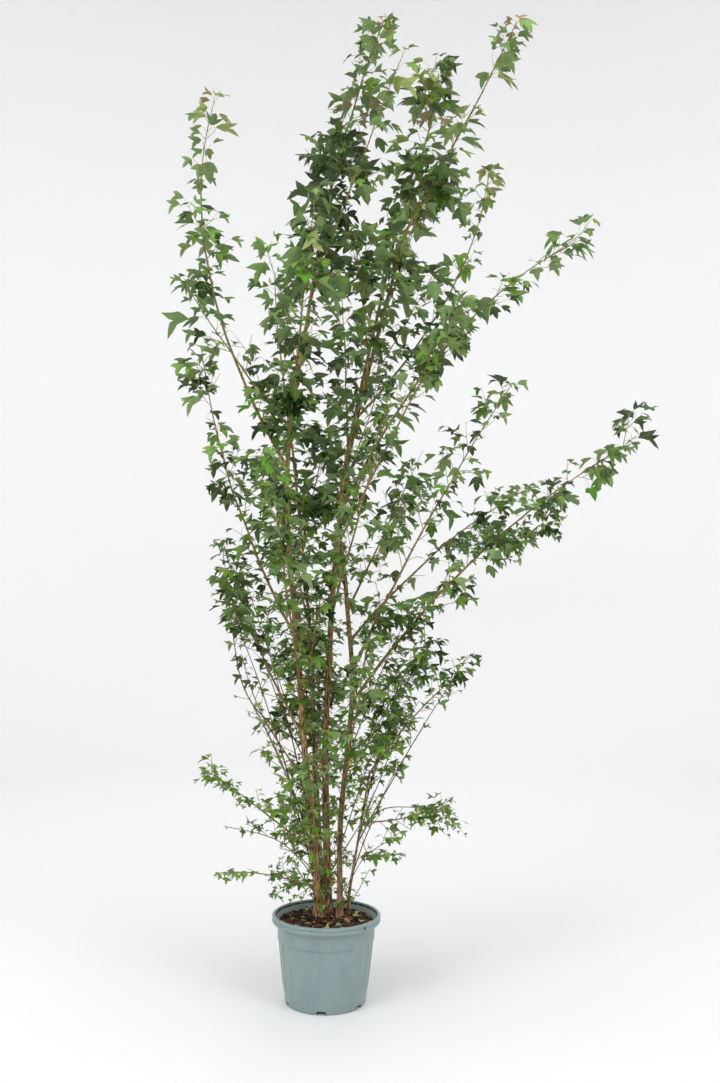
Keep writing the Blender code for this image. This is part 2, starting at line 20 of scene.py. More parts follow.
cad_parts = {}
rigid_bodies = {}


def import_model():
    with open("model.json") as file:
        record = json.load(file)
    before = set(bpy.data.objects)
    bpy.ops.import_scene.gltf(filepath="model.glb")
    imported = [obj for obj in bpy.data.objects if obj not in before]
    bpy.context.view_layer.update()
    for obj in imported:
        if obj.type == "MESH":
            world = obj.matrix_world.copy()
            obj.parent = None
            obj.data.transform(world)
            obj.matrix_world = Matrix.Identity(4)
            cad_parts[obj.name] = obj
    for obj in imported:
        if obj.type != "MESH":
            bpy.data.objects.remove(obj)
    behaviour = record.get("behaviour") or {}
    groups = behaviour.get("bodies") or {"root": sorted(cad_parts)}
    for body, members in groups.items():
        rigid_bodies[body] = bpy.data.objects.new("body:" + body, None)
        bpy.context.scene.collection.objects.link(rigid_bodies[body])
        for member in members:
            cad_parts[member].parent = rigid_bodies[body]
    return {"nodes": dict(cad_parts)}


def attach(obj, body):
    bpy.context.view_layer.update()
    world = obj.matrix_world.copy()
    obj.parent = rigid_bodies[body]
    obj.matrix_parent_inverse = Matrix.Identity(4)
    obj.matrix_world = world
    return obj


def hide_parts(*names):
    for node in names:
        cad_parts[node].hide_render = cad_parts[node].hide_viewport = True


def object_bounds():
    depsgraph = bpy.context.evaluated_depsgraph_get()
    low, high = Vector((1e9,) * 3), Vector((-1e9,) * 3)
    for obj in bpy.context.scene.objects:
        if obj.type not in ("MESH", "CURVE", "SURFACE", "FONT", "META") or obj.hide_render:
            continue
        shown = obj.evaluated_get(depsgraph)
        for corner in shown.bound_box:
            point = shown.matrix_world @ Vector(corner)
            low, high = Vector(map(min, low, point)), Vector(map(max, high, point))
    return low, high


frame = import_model()
cad_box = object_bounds()
FOLIAGE_NODES = sorted(name for name in frame["nodes"] if name.startswith("foliage"))
STEM_NODES = sorted(name for name in frame["nodes"] if name.startswith("stem"))
BOUGH_NODES = sorted(name for name in frame["nodes"] if name.startswith("bough"))
print(f"{len(STEM_NODES)} stems, {len(BOUGH_NODES)} boughs, {len(FOLIAGE_NODES)} masses of foliage")

# %% [markdown]
# The plant is worked out from two short tables: where each stem runs, and where each branch leaves its
# stem, how it bows and how far its foliage reaches. They are the same as in the model's own source, so
# everything that grows from them stays where the solids are.

# %% The stems and branches
GAP = 0.0003
MIX_TOP = 0.322
TIP_RADIUS = 0.0030

Stem = namedtuple("Stem", "name foot bends top girth tip_girth")
Branch = namedtuple("Branch", "name parent height tip bow bare reach girth leaf")

# Each stem: its foot on the potting mix (x, y), the bends it passes, its top, its girth at foot and top
STEMS = (
    Stem(
        "stem_left",
        (-0.036, 0.004),
        ((-0.055, -0.004, 0.62), (-0.092, -0.030, 0.95), (-0.120, -0.050, 1.30), (-0.178, -0.055, 2.08)),
        (-0.085, 0.000, 2.90),
        0.029,
        0.013,
    ),
    Stem(
        "stem_middle",
        (0.004, 0.048),
        ((-0.014, 0.050, 0.92), (-0.004, 0.040, 1.30), (0.020, 0.022, 1.74), (0.085, 0.000, 2.24)),
        (0.290, -0.020, 3.08),
        0.031,
        0.012,
    ),
    Stem(
        "stem_right",
        (0.052, 0.006),
        ((0.052, 0.000, 0.70), (0.092, 0.008, 1.20), (0.062, 0.085, 1.60), (0.040, 0.135, 2.05)),
        (0.250, 0.110, 3.10),
        0.023,
        0.011,
    ),
    Stem(
        "stem_back",
        (-0.020, 0.086),
        ((-0.058, 0.100, 0.90), (-0.082, 0.125, 1.40)),
        (-0.175, 0.205, 2.20),
        0.019,
        0.010,
    ),
    Stem(
        "stem_thin",
        (0.088, 0.040),
        ((0.104, 0.030, 0.50),),
        (0.165, -0.010, 0.88),
        0.012,
        0.008,
    ),
)
# Each branch: where it leaves its stem, its tip, how far it bows aside halfway along, how much of it
# is a bare bough, how far its foliage reaches to the sides, its girth and the length of its leaves.
# A branch with no height grows on from its stem's top, and one with nothing bare has no bough.
BRANCHES = (
    Branch("top_left", "stem_left", None, (0.195, -0.02, 4.00), (-0.03, 0, 0), 0, 0.23, 0.013, 0.115),
    Branch("top_right", "stem_middle", None, (0.745, -0.05, 3.97), (0.01, 0, 0), 0, 0.21, 0.012, 0.115),
    Branch("top_middle", "stem_right", None, (0.435, 0.09, 3.82), (0.02, 0, 0), 0, 0.22, 0.011, 0.115),
    Branch("top_back", "stem_back", None, (-0.275, 0.30, 3.00), (-0.01, 0, 0), 0, 0.23, 0.010, 0.115),
    Branch("right_low", "stem_thin", None, (0.46, -0.13, 1.24), (0, 0, 0.02), 0, 0.21, 0.008, 0.085),
    Branch("top_front", "stem_left", 2.80, (0.27, -0.17, 3.76), (0, -0.05, 0), 0, 0.22, 0.010, 0.110),
    Branch("left_leader", "stem_left", 2.09, (-0.52, 0.04, 3.67), (-0.17, 0, 0.03), 0.33, 0.21, 0.013, 0.110),
    Branch("left_outer", "stem_left", 2.25, (-0.57, -0.20, 2.78), (-0.02, 0, 0), 0.30, 0.21, 0.010, 0.110),
    Branch("left_side", "stem_left", 1.40, (-0.51, -0.20, 2.53), (-0.06, 0, 0), 0.26, 0.23, 0.012, 0.105),
    Branch("left_fan", "stem_left", 1.02, (-0.42, -0.12, 1.78), (-0.03, 0, 0), 0.28, 0.22, 0.011, 0.095),
    Branch("left_low", "stem_left", 0.56, (-0.47, -0.12, 0.90), (0, 0, 0.01), 0.30, 0.18, 0.009, 0.080),
    Branch("left_brush", "stem_left", 0.84, (-0.36, 0.05, 1.34), (-0.04, 0, 0), 0, 0.20, 0.008, 0.085),
    Branch("left_foot", "stem_left", 0.43, (-0.42, -0.03, 0.49), (0, 0, 0.02), 0, 0.16, 0.007, 0.075),
    Branch("far_right", "stem_right", 1.15, (1.17, -0.05, 2.18), (-0.04, 0, 0.08), 0.26, 0.23, 0.014, 0.110),
    Branch("right_back", "stem_right", 1.40, (0.84, 0.30, 2.06), (0, 0.02, 0.06), 0.30, 0.22, 0.012, 0.105),
    Branch("right_side", "stem_right", 1.28, (0.70, -0.18, 2.40), (0, -0.02, 0.05), 0.27, 0.23, 0.012, 0.105),
    Branch("right_upper", "stem_middle", 1.92, (1.00, 0.06, 3.07), (-0.04, 0, 0.14), 0.27, 0.21, 0.013, 0.110),
    Branch("right_front", "stem_middle", 1.78, (0.50, -0.32, 2.70), (0, -0.03, 0), 0.26, 0.24, 0.011, 0.110),
    Branch("right_high", "stem_right", 2.32, (0.66, 0.16, 3.42), (0.11, 0, 0), 0.26, 0.21, 0.011, 0.110),
    Branch("front_low", "stem_right", 0.78, (0.15, -0.40, 1.42), (0, -0.04, 0), 0.24, 0.23, 0.010, 0.090),
    Branch("front_left", "stem_left", 1.22, (-0.20, -0.56, 2.05), (0, -0.06, 0), 0.24, 0.25, 0.011, 0.105),
    Branch("front_right", "stem_middle", 1.50, (0.22, -0.55, 2.25), (0, -0.03, 0), 0.26, 0.24, 0.011, 0.105),
    Branch("front_high", "stem_left", 2.16, (-0.06, -0.48, 3.05), (0, -0.05, 0), 0.24, 0.25, 0.011, 0.110),
    Branch("back_low", "stem_back", 0.80, (-0.06, 0.50, 1.42), (0, 0.05, 0), 0.22, 0.23, 0.009, 0.090),
    Branch("back_right", "stem_right", 1.52, (0.38, 0.62, 2.22), (0, 0.04, 0), 0.24, 0.25, 0.011, 0.105),
    Branch("back_left", "stem_back", 1.45, (-0.34, 0.64, 2.26), (0, 0.04, 0), 0.24, 0.25, 0.010, 0.105),
    Branch("back_high", "stem_right", 2.20, (0.02, 0.60, 3.02), (0, 0.05, 0), 0.24, 0.25, 0.010, 0.110),
    Branch("right_foot", "stem_thin", 0.68, (0.46, 0.02, 0.74), (0, 0, -0.01), 0, 0.16, 0.007, 0.080),
    Branch("foot_back", "stem_middle", 0.46, (0.20, 0.34, 0.72), (0, 0, 0), 0, 0.19, 0.007, 0.080),
    Branch("foot_front", "stem_left", 0.60, (-0.05, -0.32, 0.98), (0, -0.02, 0), 0, 0.20, 0.008, 0.085),
    Branch("centre_low", "stem_left", 1.14, (-0.02, -0.17, 1.66), (0, 0, 0), 0, 0.23, 0.008, 0.095),
    Branch("centre_middle", "stem_middle", 1.98, (0.20, -0.13, 2.46), (0, 0, 0), 0, 0.23, 0.008, 0.105),
    Branch("centre_high", "stem_middle", 2.52, (0.08, -0.14, 3.04), (0, 0, 0), 0, 0.23, 0.008, 0.105),
    Branch("centre_back", "stem_back", 1.80, (-0.03, 0.36, 2.34), (0, 0, 0), 0, 0.23, 0.008, 0.105),
)


# %% [markdown]
# A branch bows between its root and its tip, so its line is a curve with one control point. Lines made of
# straight steps look like wire, so each is read again at finer steps on a smooth curve, and wavers a
# little, as wood does where it grew past its buds.

# %% Lines along limbs
LIMB_STEP = 0.022
WAVER = 0.006
BOUGH_STEP = 0.13
FLARE_TOP = 0.07


def length_of(line):
    """The length of a line of points."""
    return sum((end - start).length for start, end in zip(line, line[1:]))


def place_along(line, distance):
    """The point at a distance along a line, and the way the line runs there."""
    for start, end in zip(line, line[1:]):
        step = (end - start).length
        if distance <= step:
            break
        distance -= step
    return start.lerp(end, min(1.0, distance / step)), (end - start).normalized()


def through(points, step):
    """Points about step apart on a smooth curve through the given ones."""
    ends = [2 * points[0] - points[1], *points, 2 * points[-1] - points[-2]]
    line = []
    for before, start, end, after in zip(ends, ends[1:], ends[2:], ends[3:]):
        count = max(1, round((end - start).length / step))
        bend = 2 * before - 5 * start + 4 * end - after
        twist = 3 * start - before - 3 * end + after
        for index in range(count):
            t = index / count
            line.append(start + ((end - before) * t + bend * t**2 + twist * t**3) / 2)
    return line + [points[-1].copy()]


def drift(place):
    """A smooth aimless shift that depends on the place alone, up to 1 each way."""
    return Vector([noise.noise(place + Vector((40.0 * axis, 0.0, 0.0))) for axis in range(3)])


def wavering(line, sway):
    """The same line, wavering a little between its two ends."""
    shift = Vector(line[0]) * 7
    last = len(line) - 1
    return [
        point + drift(point * 5 + shift) * sway * math.sin(math.pi * index / last)
        for index, point in enumerate(line)
    ]


def stem_line(stem):
    """A stem's centre line, from the potting mix to its top."""
    foot = Vector((*stem.foot, MIX_TOP + GAP))
    above = foot + Vector((0, 0, FLARE_TOP))
    return through([foot, above, *(Vector(bend) for bend in stem.bends), Vector(stem.top)], LIMB_STEP)


def at_height(line, height):
    """The point of a rising line at a height."""
    for lower, upper in zip(line, line[1:]):
        if lower.z <= height <= upper.z:
            return lower.lerp(upper, (height - lower.z) / (upper.z - lower.z))
    return line[-1]


def branch_line(branch, stem):
    """A branch's bowed centre line, from its stem's axis or top to its tip."""
    start = stem[-1] if branch.height is None else at_height(stem, branch.height)
    tip = Vector(branch.tip)
    control = start.lerp(tip, 0.5) + 2 * Vector(branch.bow)
    count = max(3, round((tip - start).length / BOUGH_STEP))
    line = []
    for index in range(count + 1):
        t = index / count
        line.append(start * (1 - t) ** 2 + control * (2 * t * (1 - t)) + tip * t**2)
    return line


stem_lines = {stem.name: stem_line(stem) for stem in STEMS}
branch_lines = {}
for branch in BRANCHES:
    rough = branch_line(branch, stem_lines[branch.parent])
    branch_lines[branch.name] = wavering(through(rough, LIMB_STEP), WAVER)
print(f"{sum(map(length_of, branch_lines.values())):.1f} m of branches")

# %% [markdown]
# Bark shows as orange-brown wood, split lengthwise into fine plates with darker cracks between them. The
# same pattern, squeezed along the trunk's height, gives both the colour and the relief. Leaves, in
# contrast, get one plain colour each on their two faces, since their tints are dealt out spray by spray.

# %% Surfaces
def surface(name, colour, roughness, specular=0.5):
    """A plain Principled surface, with its values on the shader's own sockets."""
    material = bpy.data.materials.new(name)
    material.use_nodes = True
    shader = material.node_tree.nodes["Principled BSDF"]
    shader.inputs["Base Color"].default_value = (*colour, 1.0)
    shader.inputs["Roughness"].default_value = roughness
    shader.inputs["Specular IOR Level"].default_value = specular
    return material


def pattern(material, scale, stretch=(1.0, 1.0, 1.0), detail=4.0):
    """Noise on object coordinates, stretched by a Mapping node. Returns its factor."""
    nodes = material.node_tree.nodes
    links = material.node_tree.links
    places = nodes.new("ShaderNodeTexCoord")
    mapping = nodes.new("ShaderNodeMapping")
    mapping.inputs["Scale"].default_value = stretch
    grain = nodes.new("ShaderNodeTexNoise")
    grain.inputs["Scale"].default_value = scale
    grain.inputs["Detail"].default_value = detail
    links.new(places.outputs["Object"], mapping.inputs["Vector"])
    links.new(mapping.outputs["Vector"], grain.inputs["Vector"])
    return grain.outputs["Fac"]


def ramp(material, factor, stops):
    """Colours blended along a factor."""
    node = material.node_tree.nodes.new("ShaderNodeValToRGB")
    while len(node.color_ramp.elements) < len(stops):
        node.color_ramp.elements.new(0.5)
    for element, (place, colour) in zip(node.color_ramp.elements, stops):
        element.position = place
        element.color = (*colour, 1.0)
    material.node_tree.links.new(factor, node.inputs["Fac"])
    return node.outputs["Color"]


def blend_colours(material, factor, first, second):
    """Two colours mixed by a factor."""
    node = material.node_tree.nodes.new("ShaderNodeMix")
    node.data_type = "RGBA"
    links = material.node_tree.links
    colours = [socket for socket in node.inputs if socket.type == "RGBA"]
    links.new(factor, node.inputs["Factor"])
    links.new(first, colours[0])
    links.new(second, colours[1])
    return next(socket for socket in node.outputs if socket.type == "RGBA")


def relief(material, height, depth, strength=0.6):
    """Small bumps from a factor."""
    node = material.node_tree.nodes.new("ShaderNodeBump")
    node.inputs["Strength"].default_value = strength
    node.inputs["Distance"].default_value = depth
    shader = material.node_tree.nodes["Principled BSDF"]
    material.node_tree.links.new(height, node.inputs["Height"])
    material.node_tree.links.new(node.outputs["Normal"], shader.inputs["Normal"])


def paint(material, colour):
    """Lead a colour to the surface."""
    shader = material.node_tree.nodes["Principled BSDF"]
    material.node_tree.links.new(colour, shader.inputs["Base Color"])


def height_share(material, low, high):
    """A factor that climbs from 0 at one height to 1 at another."""
    nodes = material.node_tree.nodes
    places = nodes.new("ShaderNodeTexCoord")
    parts = nodes.new("ShaderNodeSeparateXYZ")
    share = nodes.new("ShaderNodeMapRange")
    share.inputs["From Min"].default_value = low
    share.inputs["From Max"].default_value = high
    material.node_tree.links.new(places.outputs["Object"], parts.inputs["Vector"])
    material.node_tree.links.new(parts.outputs["Z"], share.inputs["Value"])
    return share.outputs["Result"]


def bark_surface(name, fine, old, young):
    """Bark split lengthwise, each kind a (crack, wood, worn) triple: old at the foot, young at the top."""
    material = surface(name, old[1], 0.82, 0.18)
    plates = pattern(material, fine, (1.0, 1.0, 0.11), 6.0)
    patches = pattern(material, 9.0, (1.0, 1.0, 0.45), 3.0)
    kinds = [
        ramp(material, plates, [(0.36, crack), (0.50, wood), (0.68, worn)])
        for crack, wood, worn in (old, young)
    ]
    grown = blend_colours(material, height_share(material, OLD_TOP, YOUNG_FOOT), *kinds)
    grey = tuple(0.55 * part + 0.05 for part in old[2])
    weathered = ramp(material, plates, [(0.30, old[0]), (0.70, grey)])
    share = ramp(material, patches, [(0.46, (0, 0, 0)), (0.62, (0.4, 0.4, 0.4))])
    paint(material, blend_colours(material, share, grown, weathered))
    relief(material, plates, 0.0012, 0.8)
    return material


OLD_TOP = 0.9
YOUNG_FOOT = 2.8
OLD_BARK = ((0.040, 0.020, 0.009), (0.280, 0.150, 0.064), (0.60, 0.400, 0.220))
YOUNG_BARK = ((0.060, 0.042, 0.012), (0.240, 0.185, 0.046), (0.46, 0.39, 0.14))
SHOOT_BARK = ((0.030, 0.018, 0.010), (0.125, 0.075, 0.040), (0.27, 0.180, 0.100))
stem_bark = bark_surface("stem_bark", 260.0, OLD_BARK, YOUNG_BARK)
bough_bark = bark_surface("bough_bark", 420.0, OLD_BARK, YOUNG_BARK)
shoot_bark = bark_surface("shoot_bark", 600.0, SHOOT_BARK, YOUNG_BARK)
twig_bark = surface("twig_bark", (0.23, 0.165, 0.055), 0.55, 0.3)
stalk_skin = surface("stalk_skin", (0.36, 0.38, 0.10), 0.5, 0.3)
print("bark, twig and stalk surfaces are ready")

# %% [markdown]
# A limb is a row of rings along its line, each ring a circle that a bridge joins to the one before. Stems
# are fluted at the foot, where roots begin, so their rings are pushed in and out a little there, and the
# bark's plates are pressed into the mesh itself as well.

# %% Limbs made of rings
def turns_along(line):
    """For each point of a line, a matrix whose Z runs along it, turning as little as it can."""
    side = None
    for index, point in enumerate(line):
        ahead = line[min(index + 1, len(line) - 1)]
        behind = line[max(index - 1, 0)]
        forward = (ahead - behind).normalized()
        side = side or forward.orthogonal()
        side = (side - forward * side.dot(forward)).normalized()
        turn = Matrix((side, forward.cross(side), forward)).transposed()
        yield Matrix.Translation(point) @ turn.to_4x4()


def ring_edges(ring):
    """The edges between the corners of a ring, in order round it."""
    edges = [edge for corner in ring for edge in corner.link_edges]
    return list(dict.fromkeys(edges))


def add_limb(shape, line, radii, sides):
    """One closed limb: rings joined by bridges, with both ends filled."""
    before = None
    for matrix, radius in zip(turns_along(line), radii):
        made = bmesh.ops.create_circle(shape, segments=sides, radius=radius, matrix=matrix)
        ring = ring_edges(made["verts"])
        if before:
            bmesh.ops.bridge_loops(shape, edges=before + ring)
        else:
            bmesh.ops.edgeloop_fill(shape, edges=ring)
        before = ring
    bmesh.ops.edgeloop_fill(shape, edges=before)


ORDER_WAY = Vector((1.0, 17.3, 293.7))


def put_in_order(shape):
    """Store corners and faces by place, since some tools leave them in a new order at each run."""
    shape.verts.sort(key=lambda corner: corner.co.dot(ORDER_WAY))
    shape.faces.sort(key=lambda face: face.calc_center_median().dot(ORDER_WAY))


def finished(name, shape, materials, smooth=60):
    """A bmesh made an object at the origin, with its faces pointing out."""
    bmesh.ops.recalc_face_normals(shape, faces=shape.faces)
    put_in_order(shape)
    mesh = bpy.data.meshes.new(name)
    shape.to_mesh(mesh)
    shape.free()
    mesh.shade_smooth()
    mesh.set_sharp_from_angle(angle=math.radians(smooth))
    for material in materials:
        mesh.materials.append(material)
    item = bpy.data.objects.new(name, mesh)
    bpy.context.scene.collection.objects.link(item)
    return item


def triangles(item):
    """How many triangles an object has."""
    return sum(len(face.vertices) - 2 for face in item.data.polygons)


# %% [markdown]
# The stems keep the girths of the table. Where a stem leads on into a leafy top, both are one line, so
# nothing shows where one passes into the other.

# %% The stems
STEM_SIDES = 18
FLARE = 0.50
FLARE_HEIGHT = 0.030
PLATE_DEPTH = 0.0007
FOOT_FLUTES = 0.0022

leaders = {branch.parent: branch for branch in BRANCHES if branch.height is None}
stem_shape = bmesh.new()
for stem in STEMS:
    leader = leaders[stem.name] if stem.name in leaders else None
    line = list(stem_lines[stem.name])
    stem_part = len(line)
    line += branch_lines[leader.name][1:]
    radii = []
    for index, point in enumerate(line):
        height = point.z - line[0].z
        if index < stem_part:
            share = height / (stem.top[2] - line[0].z)
            flare = 1 + FLARE * math.exp(-height / FLARE_HEIGHT)
            radii.append((stem.girth + (stem.tip_girth - stem.girth) * share) / 2 * flare)
        else:
            share = (index - stem_part) / (len(line) - stem_part)
            radii.append(leader.girth / 2 * (1 - share) + TIP_RADIUS * 0.6 * share)
    add_limb(stem_shape, line, radii, STEM_SIDES)
stem_shape.normal_update()
for corner in stem_shape.verts:
    place = corner.co
    height = place.z - MIX_TOP
    plates = noise.noise(Vector((place.x * 190, place.y * 190, place.z * 17)))
    flutes = noise.noise(Vector((place.x * 55, place.y * 55, place.z * 6)))
    push = PLATE_DEPTH * plates + FOOT_FLUTES * flutes * math.exp(-max(height, 0.0) / 0.10)
    if height > GAP:
        corner.co += corner.normal * push
stems = finished("stems", stem_shape, [stem_bark])
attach(stems, "root")
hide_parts(*STEM_NODES)
print(f"stems: {triangles(stems)} triangles")

# %% [markdown]
# Each bough swells into a collar where it leaves its stem, and tapers without a break into the leafy
# branch that it carries.

# %% The boughs
BOUGH_SIDES = 10
COLLAR = 0.55
COLLAR_LENGTH = 0.018

bough_shape = bmesh.new()
for branch in BRANCHES:
    if branch.height is None:
        continue
    line = branch_lines[branch.name]
    whole = length_of(line)
    radii = []
    for index in range(len(line)):
        share = index / (len(line) - 1)
        collar = 1 + COLLAR * math.exp(-share * whole / COLLAR_LENGTH)
        radii.append((branch.girth / 2 * (1 - share) + TIP_RADIUS * 0.5 * share) * collar)
    add_limb(bough_shape, line, radii, BOUGH_SIDES)
bough_shape.normal_update()
for corner in bough_shape.verts:
    place = corner.co
    corner.co += corner.normal * 0.0003 * noise.noise(Vector((place.x * 260, place.y * 260, place.z * 40)))
boughs = finished("boughs", bough_shape, [bough_bark])
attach(boughs, "root")
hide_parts(*BOUGH_NODES)
print(f"boughs: {triangles(boughs)} triangles")


# %% [markdown]
# A leafy twig must stay in the space of its own branch, or the open gaps in the crown would close. A point
# belongs to the branch whose line runs nearest, as long as it is within that branch's reach. The source
# deals out space by the same rule, with marks along every branch in a tree for quick searches.

# %% Whose space a point lies in
REACH_AT_ENDS = 0.80
REACH_SHIFT = 0.10
MARK_STEP = 0.03


def reach_at(reach, share):
    """How far foliage reaches from its branch: widest about halfway along."""
    swell = math.sin(math.pi * min(1.0, share + REACH_SHIFT))
    return reach * (REACH_AT_ENDS + (1 - REACH_AT_ENDS) * swell)


class Space:
    """Every branch's own space, by marks along its leafy part."""

    def __init__(self):
        self.marks = []
        for branch in BRANCHES:
            line = branch_lines[branch.name]
            whole = length_of(line)
            bare = whole * branch.bare
            count = math.ceil((whole - bare) / MARK_STEP)
            for index in range(count + 1):
                point, _ = place_along(line, bare + (whole - bare) * index / count)
                self.marks.append((point, branch.name, reach_at(branch.reach, index / count)))
        self.tree = KDTree(len(self.marks))
        for index, (point, _, _) in enumerate(self.marks):
            self.tree.insert(point, index)
        self.tree.balance()

    def owner(self, point, room=1.0):
        """The branch whose space holds a point, or None."""
        _, index, distance = self.tree.find(point)
        _, name, reach = self.marks[index]
        return name if distance <= reach * room else None


space = Space()
print(f"{len(space.marks)} marks share out the crown")

# %% [markdown]
# Seen from the front, sky shows through the crown in many places, and the stems show from the foot to
# halfway up. So each open place is written down by where a line of sight through it meets the upright
# plane of the trunk, and only a share of the leaves along that line is kept.

# %% Where the crown is open
STAND = Vector((0.117, -4.087, 1.470))
CLEAR_WIDTH = 0.030
CLEAR_SHARE = 0.45
CLEAR_FOOT = 0.62
CLEAR_TOP = 1.6

Opening = namedtuple("Opening", "left right low high share")
OPENINGS = (
    # Round the leaders at the top
    Opening(-0.42, -0.22, 3.08, 4.10, 0.00),
    Opening(-0.22, -0.06, 3.54, 4.10, 0.00),
    Opening(-0.06, 0.02, 3.70, 4.10, 0.10),
    Opening(-0.24, -0.15, 3.34, 3.54, 0.20),
    Opening(0.16, 0.30, 3.72, 3.87, 0.15),
    Opening(0.27, 0.38, 3.86, 4.10, 0.00),
    Opening(0.12, 0.22, 3.36, 3.58, 0.35),
    Opening(0.26, 0.34, 3.42, 3.64, 0.35),
    Opening(0.05, 0.20, 2.97, 3.20, 0.45),
    Opening(0.49, 0.60, 3.64, 4.10, 0.00),
    Opening(0.62, 0.95, 3.38, 3.74, 0.10),
    Opening(-0.66, -0.46, 3.36, 3.70, 0.55),
    Opening(0.40, 0.52, 2.98, 3.12, 0.20),
    # Left of the crown
    Opening(-0.42, -0.24, 2.55, 2.92, 0.30),
    Opening(-0.34, -0.20, 2.50, 2.62, 0.45),
    Opening(-0.48, -0.36, 2.34, 2.60, 0.20),
    Opening(-0.60, -0.44, 2.28, 2.36, 0.30),
    Opening(-0.62, -0.41, 2.45, 2.72, 0.55),
    Opening(-0.80, -0.50, 1.30, 2.28, 0.00),
    Opening(-0.50, -0.44, 1.00, 1.62, 0.15),
    Opening(-0.44, -0.22, 0.98, 1.38, 0.15),
    Opening(-0.34, -0.18, 1.38, 1.68, 0.50),
    Opening(-0.50, -0.36, 1.60, 1.95, 0.60),
    # Between the stems and the boughs to the right
    Opening(-0.20, 0.10, 2.52, 2.88, 0.60),
    Opening(0.04, 0.31, 2.09, 2.80, 0.50),
    Opening(0.06, 0.28, 2.50, 2.76, 0.32),
    Opening(0.22, 0.42, 2.06, 2.40, 0.35),
    Opening(0.20, 0.50, 1.76, 2.20, 0.60),
    Opening(0.12, 0.24, 1.55, 1.70, 0.45),
    Opening(-0.36, -0.20, 2.40, 2.56, 0.70),
    Opening(0.10, 0.26, 1.96, 2.12, 0.30),
    Opening(0.05, 0.20, 1.70, 1.92, 0.30),
    Opening(0.08, 0.20, 1.46, 1.62, 0.40),
    Opening(0.22, 0.46, 1.58, 1.76, 0.20),
    Opening(0.30, 0.50, 1.76, 1.90, 0.40),
    Opening(0.32, 0.44, 2.10, 2.42, 0.15),
    Opening(0.44, 0.56, 2.30, 2.58, 0.10),
    Opening(0.60, 0.95, 2.56, 2.70, 0.05),
    Opening(0.76, 1.00, 2.30, 2.56, 0.05),
    Opening(0.68, 0.95, 2.12, 2.34, 0.05),
    Opening(0.50, 0.72, 1.93, 2.42, 0.55),
    Opening(0.98, 1.06, 1.95, 2.25, 0.35),
    Opening(0.62, 0.84, 2.97, 3.20, 0.00),
    Opening(0.70, 1.00, 3.16, 3.60, 0.00),
    Opening(0.86, 1.10, 2.70, 2.92, 0.00),
    # Under the boughs to the right
    Opening(0.60, 1.10, 1.20, 1.62, 0.00),
    Opening(0.95, 1.30, 1.60, 1.95, 0.00),
    Opening(0.42, 0.60, 1.42, 1.55, 0.30),
    Opening(0.40, 0.62, 1.22, 1.42, 0.60),
    Opening(0.33, 0.60, 0.80, 1.22, 0.10),
    Opening(0.24, 0.36, 0.80, 0.98, 0.30),
    Opening(0.12, 0.36, 0.69, 0.82, 0.22),
    Opening(0.32, 0.50, 0.50, 0.63, 0.10),
    Opening(0.10, 0.40, 0.38, 0.53, 0.20),
    # Round the foot
    Opening(-0.60, 0.60, 0.56, 1.60, 0.76),
    Opening(0.10, 0.34, 0.58, 0.74, 0.38),
    Opening(0.12, 0.32, 0.80, 1.22, 0.42),
    Opening(-0.16, 0.26, 0.74, 1.02, 0.50),
    Opening(-0.20, 0.14, 0.60, 0.74, 0.45),
    Opening(-0.22, 0.14, 0.50, 0.60, 0.50),
    Opening(-0.12, 0.16, 0.34, 0.60, 0.35),
    Opening(-0.36, -0.12, 0.58, 0.84, 0.55),
    Opening(0.06, 0.30, 0.98, 1.40, 0.50),
    Opening(-0.32, -0.12, 0.84, 0.98, 0.25),
    Opening(-0.50, -0.36, 0.58, 0.78, 0.20),
    Opening(-0.50, -0.22, 0.50, 0.62, 0.15),
    Opening(-0.50, -0.24, 0.36, 0.50, 0.45),
)


def seen_place(point):
    """Where the line of sight to a point meets the upright plane through the pot's axis."""
    return STAND + (point - STAND) * (STAND.y / (STAND.y - point.y))


stem_points = [point for stem in STEMS for point in stem_lines[stem.name]]
stem_marks = [point for point in stem_points if CLEAR_FOOT < point.z < CLEAR_TOP]
stem_sights = KDTree(len(stem_marks))
for index, point in enumerate(stem_marks):
    sight = seen_place(point)
    stem_sights.insert((sight.x, 0.0, sight.z), index)
stem_sights.balance()


def share_kept(point):
    """The share of leaves that is kept at a point."""
    sight = seen_place(point)
    shares = [1.0]
    for gap in OPENINGS:
        if gap.left < sight.x < gap.right and gap.low < sight.z < gap.high:
            shares.append(gap.share)
    _, index, distance = stem_sights.find((sight.x, 0.0, sight.z))
    if distance < CLEAR_WIDTH and point.y < stem_marks[index].y:
        shares.append(CLEAR_SHARE)
    return min(shares)


print(f"{len(OPENINGS)} open places, and {len(stem_marks)} marks on the stems that show")

# %% [markdown]
# Maples set their buds in pairs, each pair a quarter turn on from the last. So side twigs leave a branch
# two by two, leaves leave a twig two by two, and a twig ends in one leaf of its own. Twigs rise towards
# the light, and their leaves hang from thin stalks with the tip down and the upper face out. Leaves low on
# the shrub are half as long as those at its top.

# %% Leaves on a shoot
SEED = 23
LEAF_AT_GROUND = 0.020
LEAF_PER_METRE = 0.0165
LONGEST_LEAF = 0.070
LEAF_SPREAD = (0.50, 1.75, 0.75)
PAIR_STEP = 0.60
STALK = (0.35, 0.75)
DROOP = (0.25, 1.1)
TIP_SHARE = 0.8
BOX_ROOM = 0.040

Leaf = namedtuple("Leaf", "place along facing size spray")
Spray = namedtuple("Spray", "place at_tip")

leaves = []
stalks = []
sprays = []
box_low = cad_box[0] - Vector((BOX_ROOM, BOX_ROOM, BOX_ROOM))
box_high = cad_box[1] + Vector((BOX_ROOM, BOX_ROOM, BOX_ROOM))


def leaf_length(height):
    """How long leaves are at a height."""
    return min(LONGEST_LEAF, LEAF_AT_GROUND + LEAF_PER_METRE * height)


